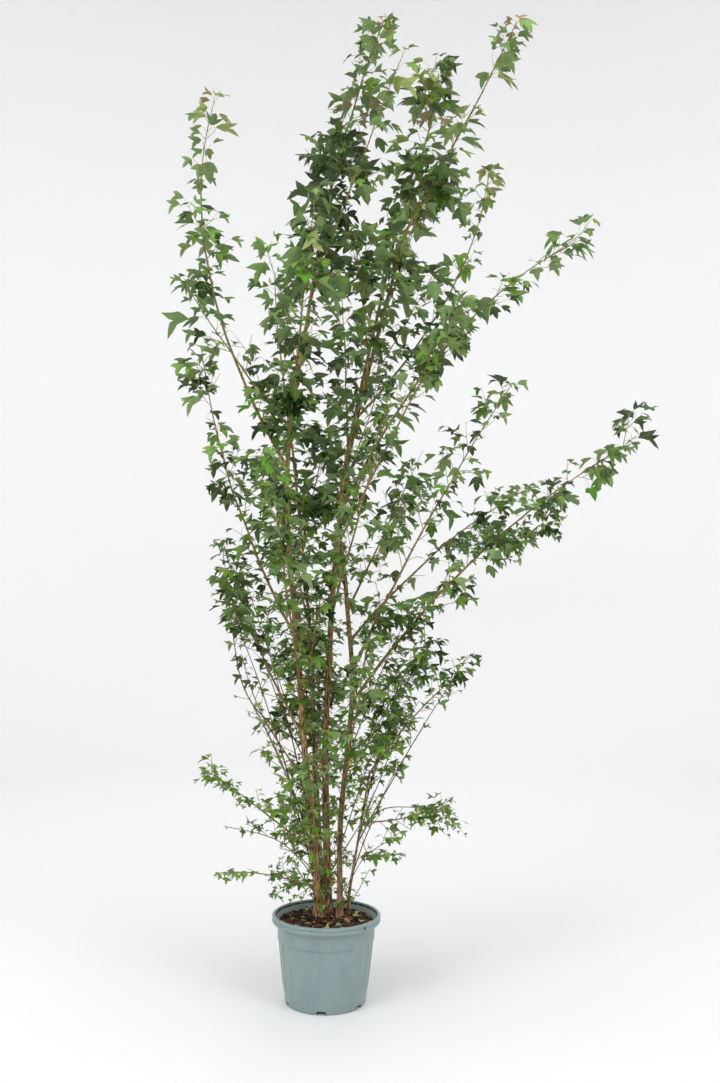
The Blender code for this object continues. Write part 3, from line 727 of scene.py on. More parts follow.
def in_box(point):
    """Whether a point is inside the model's box, or hardly outside."""
    return all(low <= part <= high for low, part, high in zip(box_low, point, box_high))


def across(forward, turn):
    """A direction square to a line, at a turn about it."""
    return Quaternion(forward, turn) @ forward.orthogonal().normalized()


def hang_leaf(rng, bud, outward, forward, size, spray):
    """One leaf on its stalk: the stalk arches out of the bud, and the blade hangs from its end."""
    level = Vector((outward.x, outward.y, 0.0))
    level = level.normalized() if level.length > 0.05 else outward
    stray = Vector((rng.gauss(0, 0.34), rng.gauss(0, 0.34), rng.gauss(0, 0.26)))
    stalk_way = (outward * 0.8 + forward * 0.45 + Vector((0, 0, 0.35)) + stray * 0.6).normalized()
    stalk_length = size * rng.uniform(*STALK)
    knee = bud + stalk_way * stalk_length * 0.6
    droop = rng.uniform(*DROOP)
    along = (level + forward * 0.35 + Vector((0, 0, -droop)) + stray).normalized()
    root = knee + (stalk_way + along).normalized() * stalk_length * 0.45
    facing = (level * (0.20 + 0.5 * droop) + Vector((0, 0, 1.0)) + stray).normalized()
    share = share_kept(root + along * size * 0.5)
    if sprays[spray].at_tip:
        share = max(share, TIP_SHARE)
    if in_box(root + along * size) and rng.random() < share:
        stalks.append((bud, knee, root))
        leaves.append(Leaf(root, along, facing, size, spray))


def leafy_shoot(rng, line, start=0.15, at_tip=False):
    """Leaf pairs along a shoot, and one leaf at its tip. Its lowest leaves are the largest."""
    spray = len(sprays)
    sprays.append(Spray(line[-1], at_tip))
    whole = length_of(line)
    turn = rng.uniform(0, math.pi)
    walked = whole * start
    while walked < whole * 0.97:
        bud, forward = place_along(line, walked)
        side = across(forward, turn)
        size = leaf_length(bud.z) * (1.1 - 0.35 * walked / whole)
        for outward in (side, -side):
            if rng.random() < 0.95:
                hang_leaf(rng, bud, outward, forward, size * rng.triangular(*LEAF_SPREAD), spray)
        turn += math.pi / 2 + rng.gauss(0, 0.2)
        walked += size * PAIR_STEP * rng.uniform(0.75, 1.25)
    size = leaf_length(line[-1].z)
    bud, forward = place_along(line, whole)
    count = 4 if at_tip else 1
    for index in range(count):
        outward = across(forward, turn + index * math.tau / 4) * (0.8 if at_tip else 0.3) + forward * 0.6
        hang_leaf(rng, bud, outward, forward, size * rng.uniform(0.5, 0.85), spray)


# %% [markdown]
# A side twig leaves its branch at an angle, bends up to the light, and is kept only if its tip is still in
# the branch's own space. Longer twigs carry smaller ones. The outermost branches are thinly set, others
# are full, so each has a number for how full it is.

# %% Growth of twigs
TWIG_RISE = 0.85
NODE_STEP = 0.95
TWIG_SHARES = (0.30, 0.95)
SIDE_TWIGS = 0.45
TWIG_STEP = 0.05
TWIG_LEEWAY = 0.5
CROWN_FULLNESS = 0.77
FULLNESS = {
    "left_leader": 0.60,
    "left_outer": 0.60,
    "top_right": 0.30,
    "top_middle": 0.95,
    "top_left": 1.10,
    "top_front": 0.80,
    "right_upper": 0.70,
    "right_high": 0.85,
    "right_side": 0.65,
    "far_right": 0.80,
    "right_back": 0.55,
    "right_low": 0.95,
    "left_low": 0.60,
    "left_fan": 0.80,
    "left_brush": 0.70,
    "left_foot": 0.45,
    "right_foot": 0.45,
    "foot_front": 0.50,
    "foot_back": 0.35,
    "front_low": 0.70,
    "back_low": 0.80,
}

Shoot = namedtuple("Shoot", "line girth")
shoots = []


def grown_line(rng, start, heading, length, lift):
    """A shoot's line, bending a little up to the light and wavering at its buds."""
    line = [start.copy()]
    count = max(2, round(length / TWIG_STEP))
    for _ in range(count):
        stray = Vector((rng.gauss(0, 0.10), rng.gauss(0, 0.10), rng.gauss(0, 0.06) + lift))
        heading = (heading + stray).normalized()
        line.append(line[-1] + heading * (length / count))
    return line


def grow_twig(rng, owners, start, forward, turn, length, rise=TWIG_RISE):
    """One side twig, if its tip stays in the space of one of its owners, and smaller twigs on it."""
    heading = (forward * rise + across(forward, turn)).normalized()
    for share in (1.0, 0.6):
        line = grown_line(rng, start, heading, length * share, 0.06)
        if space.owner(line[-1]) in owners and share_kept(line[-1]) > rng.random() * TWIG_LEEWAY:
            break
    else:
        return
    length *= share
    shoots.append(Shoot(line, 0.0009 + 0.006 * length))
    leafy_shoot(rng, line)
    if length > 0.09 and rng.random() < SIDE_TWIGS:
        fork, onward = place_along(line, length * rng.uniform(0.3, 0.6))
        grow_twig(rng, owners, fork, onward, rng.uniform(0, math.tau), length * 0.6)


def try_twig(rng, fullness, owners, start, forward, turn, lengths):
    """A place for one side twig. It takes three draws whatever grows, so no twig changes the next one."""
    chance, own_seed, length = rng.random(), rng.random(), rng.uniform(*lengths)
    if chance < fullness:
        grow_twig(random.Random(own_seed), owners, start, forward, turn, length)


for branch in BRANCHES:
    rng = random.Random(f"{SEED} {branch.name}")
    line = branch_lines[branch.name]
    whole = length_of(line)
    fullness = CROWN_FULLNESS * (FULLNESS[branch.name] if branch.name in FULLNESS else 1.0)
    walked = whole * branch.bare + 0.02
    turn = rng.uniform(0, math.pi)
    while walked < whole * 0.97:
        share = walked / whole
        start, forward = place_along(line, walked)
        reach = reach_at(branch.reach, share) * (1 - 0.45 * share)
        lengths = [reach * part for part in TWIG_SHARES]
        for way in (turn, turn + math.pi):
            try_twig(rng, fullness, (branch.name,), start, forward, way, lengths)
        turn += math.pi / 2 + rng.gauss(0, 0.3)
        walked += leaf_length(start.z) * NODE_STEP * rng.uniform(0.8, 1.2)
    leafy_shoot(random.Random(f"{SEED} tip of {branch.name}"), line[-9:], at_tip=True)
print(f"{len(shoots)} twigs and {len(leaves)} leaves on the branches")

# %% [markdown]
# Stems and bare boughs carry short leafy spurs as well, wherever a spur's tip is in some branch's space.
# Thin straight shoots also rise from the foot, between the stems, and lean out into the low branches.

# %% Spurs and shoots from the foot
SPUR_STEP = 0.060
SPUR_LENGTHS = (0.04, 0.15)
LOW_SPURS = 1.0
LOW_SPUR_FULLNESS = 0.26
SPUR_FULLNESS = 0.46
FOOT_SHOOTS = 14
SPROUTS = 15
LOW_BRANCHES = [branch for branch in BRANCHES if 0.8 < branch.tip[2] < 1.9]
ALL_OWNERS = tuple(branch.name for branch in BRANCHES)

# Thin shoots that show by themselves: the limb each leaves and how high, a point it passes, its tip, the
# share of it with no leaves, and how full the rest is
Thin = namedtuple("Thin", "limb height by tip bare fullness")
THIN_SHOOTS = (
    Thin("stem_thin", 0.60, (0.29, -0.07, 0.93), (0.54, -0.13, 1.35), 0.72, 1.0),
    Thin("stem_right", 0.80, (0.20, -0.04, 1.08), (0.40, -0.10, 1.42), 0.35, 0.9),
    Thin("stem_thin", 0.70, (0.22, 0.00, 1.02), (0.35, -0.02, 1.32), 0.35, 0.9),
    Thin("stem_right", 0.92, (0.18, 0.02, 1.20), (0.31, 0.02, 1.50), 0.30, 0.8),
    Thin("stem_right", 0.58, (0.13, -0.05, 0.84), (0.24, -0.12, 1.18), 0.30, 0.8),
    Thin("stem_left", 0.98, (-0.33, -0.05, 1.20), (-0.43, -0.10, 1.78), 0.15, 0.25),
    Thin("stem_left", 0.92, (-0.20, -0.06, 1.16), (-0.30, -0.10, 1.46), 0.60, 0.6),
    Thin("stem_back", 0.86, (-0.16, 0.06, 1.10), (-0.26, 0.04, 1.40), 0.60, 0.6),
    Thin("stem_left", 0.46, (-0.18, -0.06, 0.62), (-0.40, -0.08, 0.68), 0.35, 0.35),
    Thin("stem_left", 0.48, (-0.13, -0.04, 0.60), (-0.19, -0.10, 0.80), 0.25, 0.7),
    Thin("stem_thin", 0.46, (0.16, -0.01, 0.56), (0.28, -0.04, 0.65), 0.30, 0.9),
    Thin("stem_thin", 0.66, (0.24, 0.00, 0.745), (0.47, 0.02, 0.73), 0.70, 1.0),
    Thin("stem_thin", 0.78, (0.22, -0.04, 1.00), (0.24, -0.05, 1.24), 0.25, 0.7),
    Thin("stem_middle", 1.00, (0.12, -0.02, 1.24), (0.18, -0.04, 1.52), 0.35, 0.6),
    Thin("stem_left", 2.48, (-0.21, -0.04, 2.78), (-0.28, -0.05, 3.00), 0.80, 0.5),
    Thin("stem_middle", 2.70, (0.30, -0.04, 3.00), (0.38, -0.05, 3.36), 0.20, 0.9),
    Thin("stem_middle", 2.40, (0.28, -0.06, 2.66), (0.42, -0.08, 2.92), 0.20, 0.9),
    Thin("right_upper", 2.98, (1.01, 0.04, 3.09), (1.06, 0.02, 3.15), 0.30, 0.35),
    Thin("far_right", 2.07, (1.14, -0.06, 2.17), (1.22, -0.07, 2.23), 0.25, 0.15),
    Thin("far_right", 1.78, (0.80, -0.12, 1.83), (0.93, -0.15, 1.90), 0.10, 1.0),
    Thin("top_middle", 3.60, (0.37, 0.05, 3.71), (0.42, 0.03, 3.85), 0.20, 0.9),
    Thin("stem_middle", 3.00, (0.37, 0.00, 3.18), (0.46, 0.02, 3.44), 0.15, 0.35),
    Thin("top_right", 3.16, (0.44, -0.08, 3.30), (0.50, -0.10, 3.52), 0.15, 0.35),
)

limbs = [stem_lines[stem.name] for stem in STEMS]
for branch in BRANCHES:
    bare = round(len(branch_lines[branch.name]) * branch.bare)
    if bare > 3:
        limbs.append(branch_lines[branch.name][:bare])
for index, line in enumerate(limbs):
    rng = random.Random(f"{SEED} spurs {index}")
    whole = length_of(line)
    walked = SPUR_STEP * 2
    turn = rng.uniform(0, math.pi)
    while walked < whole:
        start, forward = place_along(line, walked)
        fullness = LOW_SPUR_FULLNESS if start.z < LOW_SPURS else SPUR_FULLNESS
        for way in (turn, turn + math.pi):
            try_twig(rng, fullness, ALL_OWNERS, start, forward, way, SPUR_LENGTHS)
        turn += math.pi / 2 + rng.gauss(0, 0.4)
        walked += SPUR_STEP * rng.uniform(0.7, 1.3)

rng = random.Random(f"{SEED} foot")
foot_shoots = []


def leafy_thin_shoot(line, bare, fullness):
    """Twigs along a thin shoot past its bare part, and leaves at its tip."""
    foot_shoots.append(line)
    whole = length_of(line)
    walked = whole * bare
    turn = rng.uniform(0, math.pi)
    while walked < whole * 0.97:
        start, forward = place_along(line, walked)
        for way in (turn, turn + math.pi):
            try_twig(rng, fullness, ALL_OWNERS, start, forward, way, SPUR_LENGTHS)
        turn += math.pi / 2 + rng.gauss(0, 0.4)
        walked += leaf_length(start.z) * NODE_STEP * 1.4
    leafy_shoot(random.Random(rng.random()), line[-8:])


limb_lines = {**stem_lines, **branch_lines}
for shoot in THIN_SHOOTS:
    points = [at_height(limb_lines[shoot.limb], shoot.height), Vector(shoot.by), Vector(shoot.tip)]
    leafy_thin_shoot(wavering(through(points, LIMB_STEP), WAVER), shoot.bare, shoot.fullness)
for index in range(FOOT_SHOOTS):
    branch = LOW_BRANCHES[index % len(LOW_BRANCHES)]
    line = branch_lines[branch.name]
    goal, _ = place_along(line, length_of(line) * rng.uniform(0.35, 0.95))
    goal = goal + Vector((rng.gauss(0, 0.05), rng.gauss(0, 0.05), rng.gauss(0, 0.05)))
    stem = stem_lines[branch.parent]
    start = at_height(stem, MIX_TOP + rng.uniform(0.01, 0.35))
    control = start.lerp(goal, 0.40) + Vector((0.0, 0.0, 0.16 * (goal - start).length))
    rough = [start.lerp(control, t).lerp(control.lerp(goal, t), t) for t in (0, 0.25, 0.5, 0.75, 1)]
    leafy_thin_shoot(wavering(through(rough, LIMB_STEP), WAVER), 0.2, 0.5)
for index in range(SPROUTS):
    stem = stem_lines[STEMS[index % len(STEMS)].name]
    start = at_height(stem, MIX_TOP + rng.uniform(0.005, 0.09))
    lean = Vector((rng.gauss(0, 0.45), rng.gauss(-0.30, 0.45), 1.0)).normalized()
    line = grown_line(rng, start, lean, rng.uniform(0.07, 0.22), 0.02)
    leafy_thin_shoot(through(line, LIMB_STEP), 0.15, 0.20)
print(f"{len(shoots)} twigs and {len(leaves)} leaves in all")

foot_shape = bmesh.new()
for line in foot_shoots:
    thick = 0.0016 + 0.0016 * length_of(line)
    radii = [thick + (0.0012 - thick) * index / (len(line) - 1) for index in range(len(line))]
    add_limb(foot_shape, line, radii, 6)
foot_wood = finished("foot_shoots", foot_shape, [shoot_bark])
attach(foot_wood, "root")
print(f"shoots from the foot: {triangles(foot_wood)} triangles")

# %% [markdown]
# Twigs and leaf stalks are far too many for a mesh tool each. One curve holds all twigs, with a radius at
# every point, and its bevel gives them four sides: thinner than a pencil, they look round from anywhere.

# %% Twigs and leaf stalks
STALK_RADIUS = 0.0007
TWIG_TIP = 0.0009


def sticks(name, lines, material):
    """Thin tapered sticks along many lines, as one mesh."""
    curve = bpy.data.curves.new(name, "CURVE")
    curve.dimensions = "3D"
    curve.bevel_depth = 1.0
    curve.bevel_resolution = 0
    curve.use_fill_caps = True
    for points, radii in lines:
        spline = curve.splines.new("POLY")
        spline.points.add(len(points) - 1)
        for point, place, radius in zip(spline.points, points, radii):
            point.co = (*place, 1.0)
            point.radius = radius
    holder = bpy.data.objects.new(name, curve)
    bpy.context.scene.collection.objects.link(holder)
    seen = holder.evaluated_get(bpy.context.evaluated_depsgraph_get())
    mesh = bpy.data.meshes.new_from_object(seen)
    bpy.data.objects.remove(holder)
    bpy.data.curves.remove(curve)
    shape = bmesh.new()
    shape.from_mesh(mesh)
    bpy.data.meshes.remove(mesh)
    item = finished(name, shape, [material])
    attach(item, "root")
    print(f"{name}: {triangles(item)} triangles")
    return item


def stick_radii(count, thick, thin):
    """Radii that taper evenly from one end to the other."""
    return [thick + (thin - thick) * index / (count - 1) for index in range(count)]


twig_lines = [(shoot.line, stick_radii(len(shoot.line), shoot.girth, TWIG_TIP)) for shoot in shoots]
twigs = sticks("twigs", twig_lines, twig_bark)
stalk_lines = [(points, stick_radii(3, STALK_RADIUS, STALK_RADIUS * 0.8)) for points in stalks]
leaf_stalks = sticks("leaf_stalks", stalk_lines, stalk_skin)

# %% [markdown]
# A trident maple's leaf has three pointed lobes that spread from a rounded wedge of a base. The blade is
# folded a little along its pale midrib and along the rib of each side lobe, which gives it its glints. It
# is made once as a half and mirrored, a bevel widens the ribs' edges into thin faces of their own, and it
# is bent and doubled into an upper and a paler lower face that share a rim. The small leaves low on the
# shrub are drawn with fewer corners, and their lobes spread wider.

# %% The leaf
LARGE_LEAF = {
    "base": (0.0, 0.0),
    "mid": (0.0, 0.47),
    "high": (0.0, 0.74),
    "tip": (0.0, 1.02),
    "hip": (0.12, 0.02),
    "side": (0.25, 0.15),
    "shoulder": (0.37, 0.36),
    "lobe": (0.51, 0.71),
    "under": (0.33, 0.59),
    "notch": (0.145, 0.49),
    "waist": (0.175, 0.65),
    "brow": (0.115, 0.83),
    "fork": (0.25, 0.40),
}
LARGE_FACES = (
    "base hip side fork",
    "side shoulder fork",
    "shoulder lobe fork",
    "lobe under fork",
    "under notch fork",
    "base fork mid",
    "mid fork notch",
    "mid notch waist high",
    "high waist brow",
    "high brow tip",
)
LARGE_RIBS = ("base mid high", "base fork")
SMALL_LEAF = {
    "base": (0.0, 0.0),
    "mid": (0.0, 0.42),
    "tip": (0.0, 1.0),
    "hip": (0.20, 0.0),
    "shoulder": (0.40, 0.24),
    "lobe": (0.58, 0.54),
    "notch": (0.17, 0.48),
    "brow": (0.14, 0.76),
    "fork": (0.24, 0.30),
}
SMALL_FACES = (
    "base hip fork",
    "base fork mid",
    "hip shoulder fork",
    "shoulder lobe fork",
    "lobe notch fork",
    "mid fork notch",
    "mid notch brow",
    "mid brow tip",
)
SMALL_RIBS = ("base mid",)
BROAD_LEAF = {
    **LARGE_LEAF,
    "shoulder": (0.39, 0.38),
    "lobe": (0.46, 0.67),
    "under": (0.34, 0.61),
    "notch": (0.20, 0.57),
    "waist": (0.19, 0.69),
    "brow": (0.13, 0.85),
}
LOBE_CORNERS = ("shoulder", "lobe", "under", "fork")
UPPER, LOWER, RIB = range(3)
RIB_HALF = 0.012


def leaf_shape(outline, faces, ribs, spread, fold, droop, twist):
    """The corners, triangles and skins of one leaf, 1 long, with its base at the origin."""
    shape = bmesh.new()
    corners = {}
    for name, (sideways, forward) in outline.items():
        corners[name] = shape.verts.new((sideways, forward, 0.0))
        if name in LOBE_CORNERS:
            corners[name].co.rotate(Matrix.Rotation(math.radians(-spread), 3, "Z"))
    for names in faces:
        shape.faces.new([corners[name] for name in names.split()])
    for rib in ribs:
        path = [corners[name] for name in rib.split()]
        for start, end in zip(path, path[1:]):
            for edge in start.link_edges:
                edge.seam = edge.seam or end in edge.verts
    half = shape.verts[:] + shape.edges[:] + shape.faces[:]
    bmesh.ops.mirror(shape, geom=half, merge_dist=0.0001, axis="X")
    bmesh.ops.recalc_face_normals(shape, faces=shape.faces)
    shape.normal_update()
    if sum(face.normal.z for face in shape.faces) < 0:
        bmesh.ops.reverse_faces(shape, faces=shape.faces)
    bmesh.ops.bevel(
        shape,
        geom=[edge for edge in shape.edges if edge.seam],
        offset=RIB_HALF,
        offset_type="OFFSET",
        affect="EDGES",
        segments=1,
        profile=0.5,
        material=RIB,
    )
    for corner in shape.verts:
        x, y, _ = corner.co
        rib = abs(abs(x) - y * 0.62) if y < 0.68 else abs(x)
        corner.co.z = fold * abs(x) + 0.35 * abs(fold) * rib - droop * y * y - twist * x * y
    upper = shape.faces[:]
    inner = [corner for corner in shape.verts if not corner.is_boundary]
    copy = bmesh.ops.duplicate(shape, geom=shape.verts[:] + shape.edges[:] + upper)
    lower = [item for item in copy["geom"] if isinstance(item, bmesh.types.BMFace)]
    bmesh.ops.reverse_faces(shape, faces=lower)
    for face in lower:
        if face.material_index == UPPER:
            face.material_index = LOWER
    under = [copy["vert_map"][corner] for corner in inner]
    bmesh.ops.translate(shape, verts=under, vec=(0.0, 0.0, -0.012))
    bmesh.ops.remove_doubles(shape, verts=shape.verts, dist=0.0001)
    bmesh.ops.triangulate(shape, faces=shape.faces)
    put_in_order(shape)
    shape.verts.index_update()
    points = np.array([corner.co[:] for corner in shape.verts])
    faces = np.array([[corner.index for corner in face.verts] for face in shape.faces])
    sides = np.array([face.material_index for face in shape.faces])
    shape.free()
    return points, faces, sides


BENDS = (
    (0.0, 0.32, 0.14, 0.00),
    (6.0, 0.50, 0.28, 0.14),
    (-6.0, 0.22, 0.24, -0.18),
    (10.0, 0.38, 0.06, 0.10),
    (-3.0, -0.18, 0.36, -0.08),
    (3.0, 0.80, 0.18, 0.06),
    (-5.0, 1.15, 0.32, 0.04),
)
LARGE_LEAVES = [
    leaf_shape(outline, LARGE_FACES, LARGE_RIBS, *bend)
    for outline in (LARGE_LEAF, BROAD_LEAF)
    for bend in BENDS
]
SMALL_LEAVES = [leaf_shape(SMALL_LEAF, SMALL_FACES, SMALL_RIBS, *bend) for bend in BENDS]
print(f"a large leaf has {len(LARGE_LEAVES[0][1])} triangles, a small one {len(SMALL_LEAVES[0][1])}")

# %% [markdown]
# Thousands of leaves are one shape set down over and over, so their corners come out of one sum over
# arrays: each leaf's turn and size times the shape's corners, plus its place. The copies of one tint and
# one part of the crown make one mesh.

# %% Copies joined into one mesh
CREASE = 14


def turned(along, facing, size):
    """The turn and size that lead a shape's Y along a way and its Z as nearly as can be to a facing."""
    side = along.cross(facing).normalized()
    return np.array(Matrix((side, along, side.cross(along))).transposed()) * size


def joined(name, shapes, spots, materials):
    """Copies of small shapes, joined. Each spot is (which shape, place, turn times size)."""
    points, faces, sides = [], [], []
    count = 0
    for kind, (corners, triangle_corners, triangle_sides) in enumerate(shapes):
        mine = [spot for spot in spots if spot[0] == kind]
        if not mine:
            continue
        places = np.array([spot[1][:] for spot in mine])
        turns = np.array([spot[2] for spot in mine])
        copies = np.einsum("nij,kj->nki", turns, corners) + places[:, None, :]
        starts = count + len(corners) * np.arange(len(mine))
        points.append(copies.reshape(-1, 3))
        faces.append((triangle_corners[None] + starts[:, None, None]).reshape(-1, 3))
        sides.append(np.tile(triangle_sides, len(mine)))
        count += len(corners) * len(mine)
    mesh = bpy.data.meshes.new(name)
    mesh.from_pydata(np.concatenate(points), [], np.concatenate(faces))
    for material in materials:
        mesh.materials.append(material)
    mesh.polygons.foreach_set("material_index", np.concatenate(sides).astype(np.int32))
    mesh.shade_smooth()
    mesh.set_sharp_from_angle(angle=math.radians(CREASE))
    item = bpy.data.objects.new(name, mesh)
    bpy.context.scene.collection.objects.link(item)
    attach(item, "root")
    print(f"{name}: {triangles(item)} triangles")
    return item


# %% [markdown]
# The crown isn't one green. Low in the shade the leaves are small and light, the middle is darker, and the
# growing tips are yellow-green or bronze. A few leaves have already turned yellow. The mix of dark, mid and
# light tints is partly the leaves' own colour and partly painted light and shade, for leaves turned to the
# light and leaves turned away from it, and the dense leader at the top left is dark with painted shade. The
# tint is dealt out by spray, so the leaves of one twig look alike.

# %% The tints of the leaves
# Each tint: its upper and its lower face. The dark, mid and light tints are partly the leaves' own colour and
# partly painted light and shade
TINTS = {
    "dark": ((0.020, 0.045, 0.008), (0.065, 0.105, 0.040)),
    "mid": ((0.074, 0.156, 0.017), (0.150, 0.240, 0.085)),
    "light": ((0.150, 0.280, 0.036), (0.230, 0.330, 0.130)),
    "bright": ((0.100, 0.290, 0.018), (0.230, 0.370, 0.110)),
    "young": ((0.270, 0.365, 0.050), (0.35, 0.42, 0.14)),
    "bronze": ((0.300, 0.175, 0.070), (0.34, 0.26, 0.14)),
    "yellow": ((0.440, 0.370, 0.065), (0.47, 0.42, 0.13)),
}
LOW_CROWN = 1.30
HIGH_CROWN = 2.45
# Painted shade: sprays in this part of the leader at the top left (from x, to x, from height, to height) get
# mostly the dark tint, for the shade that its dense leaves cast on one another
LEADER_PAINTED_SHADE = (-0.20, 0.08, 2.85, 3.60)
STRAY_TINTS = 0.25
BRONZE_SIZE = 0.74
BRONZE_FOOT = 3.2
BRIGHT_REACH = 0.075
BRIGHT_BUNCHES = ((-0.29, 3.00), (-0.36, 2.36))


def dealt(rng, shares):
    """One tint, by how common each is."""
    return rng.choices(list(shares), weights=list(shares.values()))[0]


def tint_shares(spray):
    """How common each tint is in a spray."""
    height = spray.place.z
    if spray.at_tip and height > BRONZE_FOOT:
        return {"mid": 0.16, "light": 0.46, "young": 0.38}
    if spray.at_tip and height > 2.0:
        return {"mid": 0.45, "light": 0.45, "bright": 0.05, "young": 0.05}
    if height < 1.1:
        return {"mid": 0.40, "light": 0.54, "young": 0.05, "yellow": 0.01}
    if height < 1.9:
        return {"dark": 0.20, "mid": 0.44, "light": 0.33, "bright": 0.01, "young": 0.02}
    # Painted shade in the dense leader: mostly the dark tint
    if LEADER_PAINTED_SHADE[0] < spray.place.x < LEADER_PAINTED_SHADE[1] and LEADER_PAINTED_SHADE[2] < height < LEADER_PAINTED_SHADE[3]:
        return {"dark": 0.58, "mid": 0.32, "light": 0.10}
    if height < 2.8:
        return {"dark": 0.28, "mid": 0.44, "light": 0.24, "bright": 0.03, "young": 0.01}
    if height < 3.4:
        return {"dark": 0.10, "mid": 0.40, "light": 0.45, "bright": 0.03, "young": 0.02}
    return {"dark": 0.04, "mid": 0.34, "light": 0.46, "young": 0.13, "bronze": 0.03}


def leaf_tint(rng, leaf, tint):
    """A leaf's own tint: mostly its spray's, but small young tip leaves are bronze, and a few stray."""
    spray = sprays[leaf.spray]
    sight = seen_place(leaf.place)
    small = leaf.size < BRONZE_SIZE * leaf_length(leaf.place.z)
    if spray.at_tip and small and spray.place.z > BRONZE_FOOT:
        return "bronze"
    if any(math.hypot(sight.x - x, sight.z - z) < BRIGHT_REACH for x, z in BRIGHT_BUNCHES):
        return "bright"
    if rng.random() < STRAY_TINTS:
        return dealt(rng, tint_shares(spray))
    return tint


PALE_RIB = Vector((0.30, 0.40, 0.12))
RIB_PALENESS = 0.38
leaf_skins = {}
for tint, (upper, lower) in TINTS.items():
    shine = 0.14 if tint == "dark" else 0.30
    rib_colour = Vector(upper).lerp(PALE_RIB, RIB_PALENESS)
    leaf_skins[tint] = [
        surface(f"leaf_{tint}", upper, 0.34, shine),
        surface(f"leaf_{tint}_under", lower, 0.62, 0.2),
        surface(f"leaf_{tint}_rib", rib_colour, 0.5, 0.3),
    ]
rng = random.Random(SEED)
spray_tints = [dealt(rng, tint_shares(spray)) for spray in sprays]
leaf_spots = defaultdict(list)
for leaf in leaves:
    tint = leaf_tint(rng, leaf, spray_tints[leaf.spray])
    band = "low" if leaf.place.z < LOW_CROWN else "middle" if leaf.place.z < HIGH_CROWN else "high"
    kind = rng.randrange(len(SMALL_LEAVES if band == "low" else LARGE_LEAVES))
    leaf_spots[tint, band].append((kind, leaf.place, turned(leaf.along, leaf.facing, leaf.size)))
for (tint, band), spots in sorted(leaf_spots.items()):
    shapes = SMALL_LEAVES if band == "low" else LARGE_LEAVES
    joined(f"leaves_{tint}_{band}", shapes, spots, leaf_skins[tint])
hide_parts(*FOLIAGE_NODES)

# %% [markdown]
# The nursery pot is one moulded shell: a rounded foot, a widening body, a collar, and a double rolled lip.
# Its section is turned once round the axis. Low upright ribs stiffen its body, with a smooth panel between
# them at the front and at the back.

# %% The pot
POT_SEGMENTS = 360
POT_HEIGHT = 0.334
POT_WALL = 0.0035
FOOT_RADIUS = 0.157
BODY_RADIUS = 0.1845
COLLAR_RADIUS = 0.190
COLLAR_FOOT = 0.242
LIP_RADIUS = 0.213
LIP_WIDTH = 0.013
PANEL_TURN = math.radians(-98)
PANEL_HALF = math.radians(27)
RIB_STEP = (math.pi / 2 - PANEL_HALF) / 4
RIB_TOP = math.radians(1.2)
RIB_SIDE = math.radians(2.2)
RIB_HEIGHT = 0.0030
RIB_FOOT = 0.035
RIB_RUN = 0.045
EDGE_WAVE = 0.0015


def outer_radius(height):
    """The body's radius at a height."""
    return FOOT_RADIUS + (BODY_RADIUS - FOOT_RADIUS) * height / COLLAR_FOOT


def inner_radius(height):
    """The radius of the pot's inner face at a height."""
    return FOOT_RADIUS + (COLLAR_RADIUS - FOOT_RADIUS) * height / POT_HEIGHT - POT_WALL


def smooth_step(share):
    """An even rise from 0 to 1 with soft ends."""
    share = min(1.0, max(0.0, share))
    return share * share * (3 - 2 * share)


def rib_share(angle):
    """How far the wall stands out as a rib, from 0 to 1, at an angle from the middle of the front panel."""
    aside = abs((angle + math.pi / 2) % math.pi - math.pi / 2)
    past = abs(aside - PANEL_HALF)
    if aside > PANEL_HALF:
        past = min(past % RIB_STEP, RIB_STEP - past % RIB_STEP)
    return 1 - smooth_step((past - RIB_TOP) / RIB_SIDE)


def arc(centre, radius, start, end, steps):
    """Points on an arc in the plane of radius and height, angles in degrees from outwards."""
    turns = [math.radians(start + (end - start) * step / steps) for step in range(steps + 1)]
    return [(centre[0] + radius * math.cos(turn), centre[1] + radius * math.sin(turn)) for turn in turns]


def spun(profile, segments):
    """A profile of (radius, height) pairs turned into a closed body."""
    shape = bmesh.new()
    corners = [shape.verts.new((radius, 0.0, height)) for radius, height in profile]
    edges = [shape.edges.new(pair) for pair in zip(corners, corners[1:])]
    bmesh.ops.spin(
        shape,
        geom=corners + edges,
        axis=(0, 0, 1),
        cent=(0, 0, 0),
        angle=math.tau,
        steps=segments,
        use_merge=True,
    )
    bmesh.ops.remove_doubles(shape, verts=shape.verts, dist=0.00001)
    bmesh.ops.recalc_face_normals(shape, faces=shape.faces)
    return shape


body_heights = [0.010 + 0.0115 * step for step in range(20)]
profile = [(0.0, 0.004), (FOOT_RADIUS - 0.030, 0.004), (FOOT_RADIUS - 0.026, 0.0)]
profile += arc((FOOT_RADIUS - 0.006, 0.006), 0.006, -90, 0, 5)
profile += [(outer_radius(height), height) for height in body_heights]
profile += [(outer_radius(0.2375), 0.2375), (BODY_RADIUS, 0.2400), (BODY_RADIUS + 0.0015, 0.2410)]
profile += [(COLLAR_RADIUS - 0.0008, 0.2420), (COLLAR_RADIUS, 0.2435), (COLLAR_RADIUS, 0.260)]
profile += [(COLLAR_RADIUS, 0.280), (COLLAR_RADIUS + 0.0005, 0.294), (COLLAR_RADIUS + 0.003, 0.3005)]
profile += arc((LIP_RADIUS - 0.0095, 0.3115), 0.0095, -80, 52, 9)
profile += arc((LIP_RADIUS - 0.0075, 0.3265), 0.0075, -22, 90, 7)
profile += arc((LIP_RADIUS - LIP_WIDTH + 0.005, 0.329), 0.005, 90, 180, 5)
profile += [(LIP_RADIUS - LIP_WIDTH - 0.003, 0.322), (inner_radius(0.306), 0.306)]
profile += [(inner_radius(0.29), 0.29), (inner_radius(0.15), 0.15)]
profile += [(inner_radius(0.012), 0.012), (0.0, 0.012)]
pot_shape = spun(profile, POT_SEGMENTS)
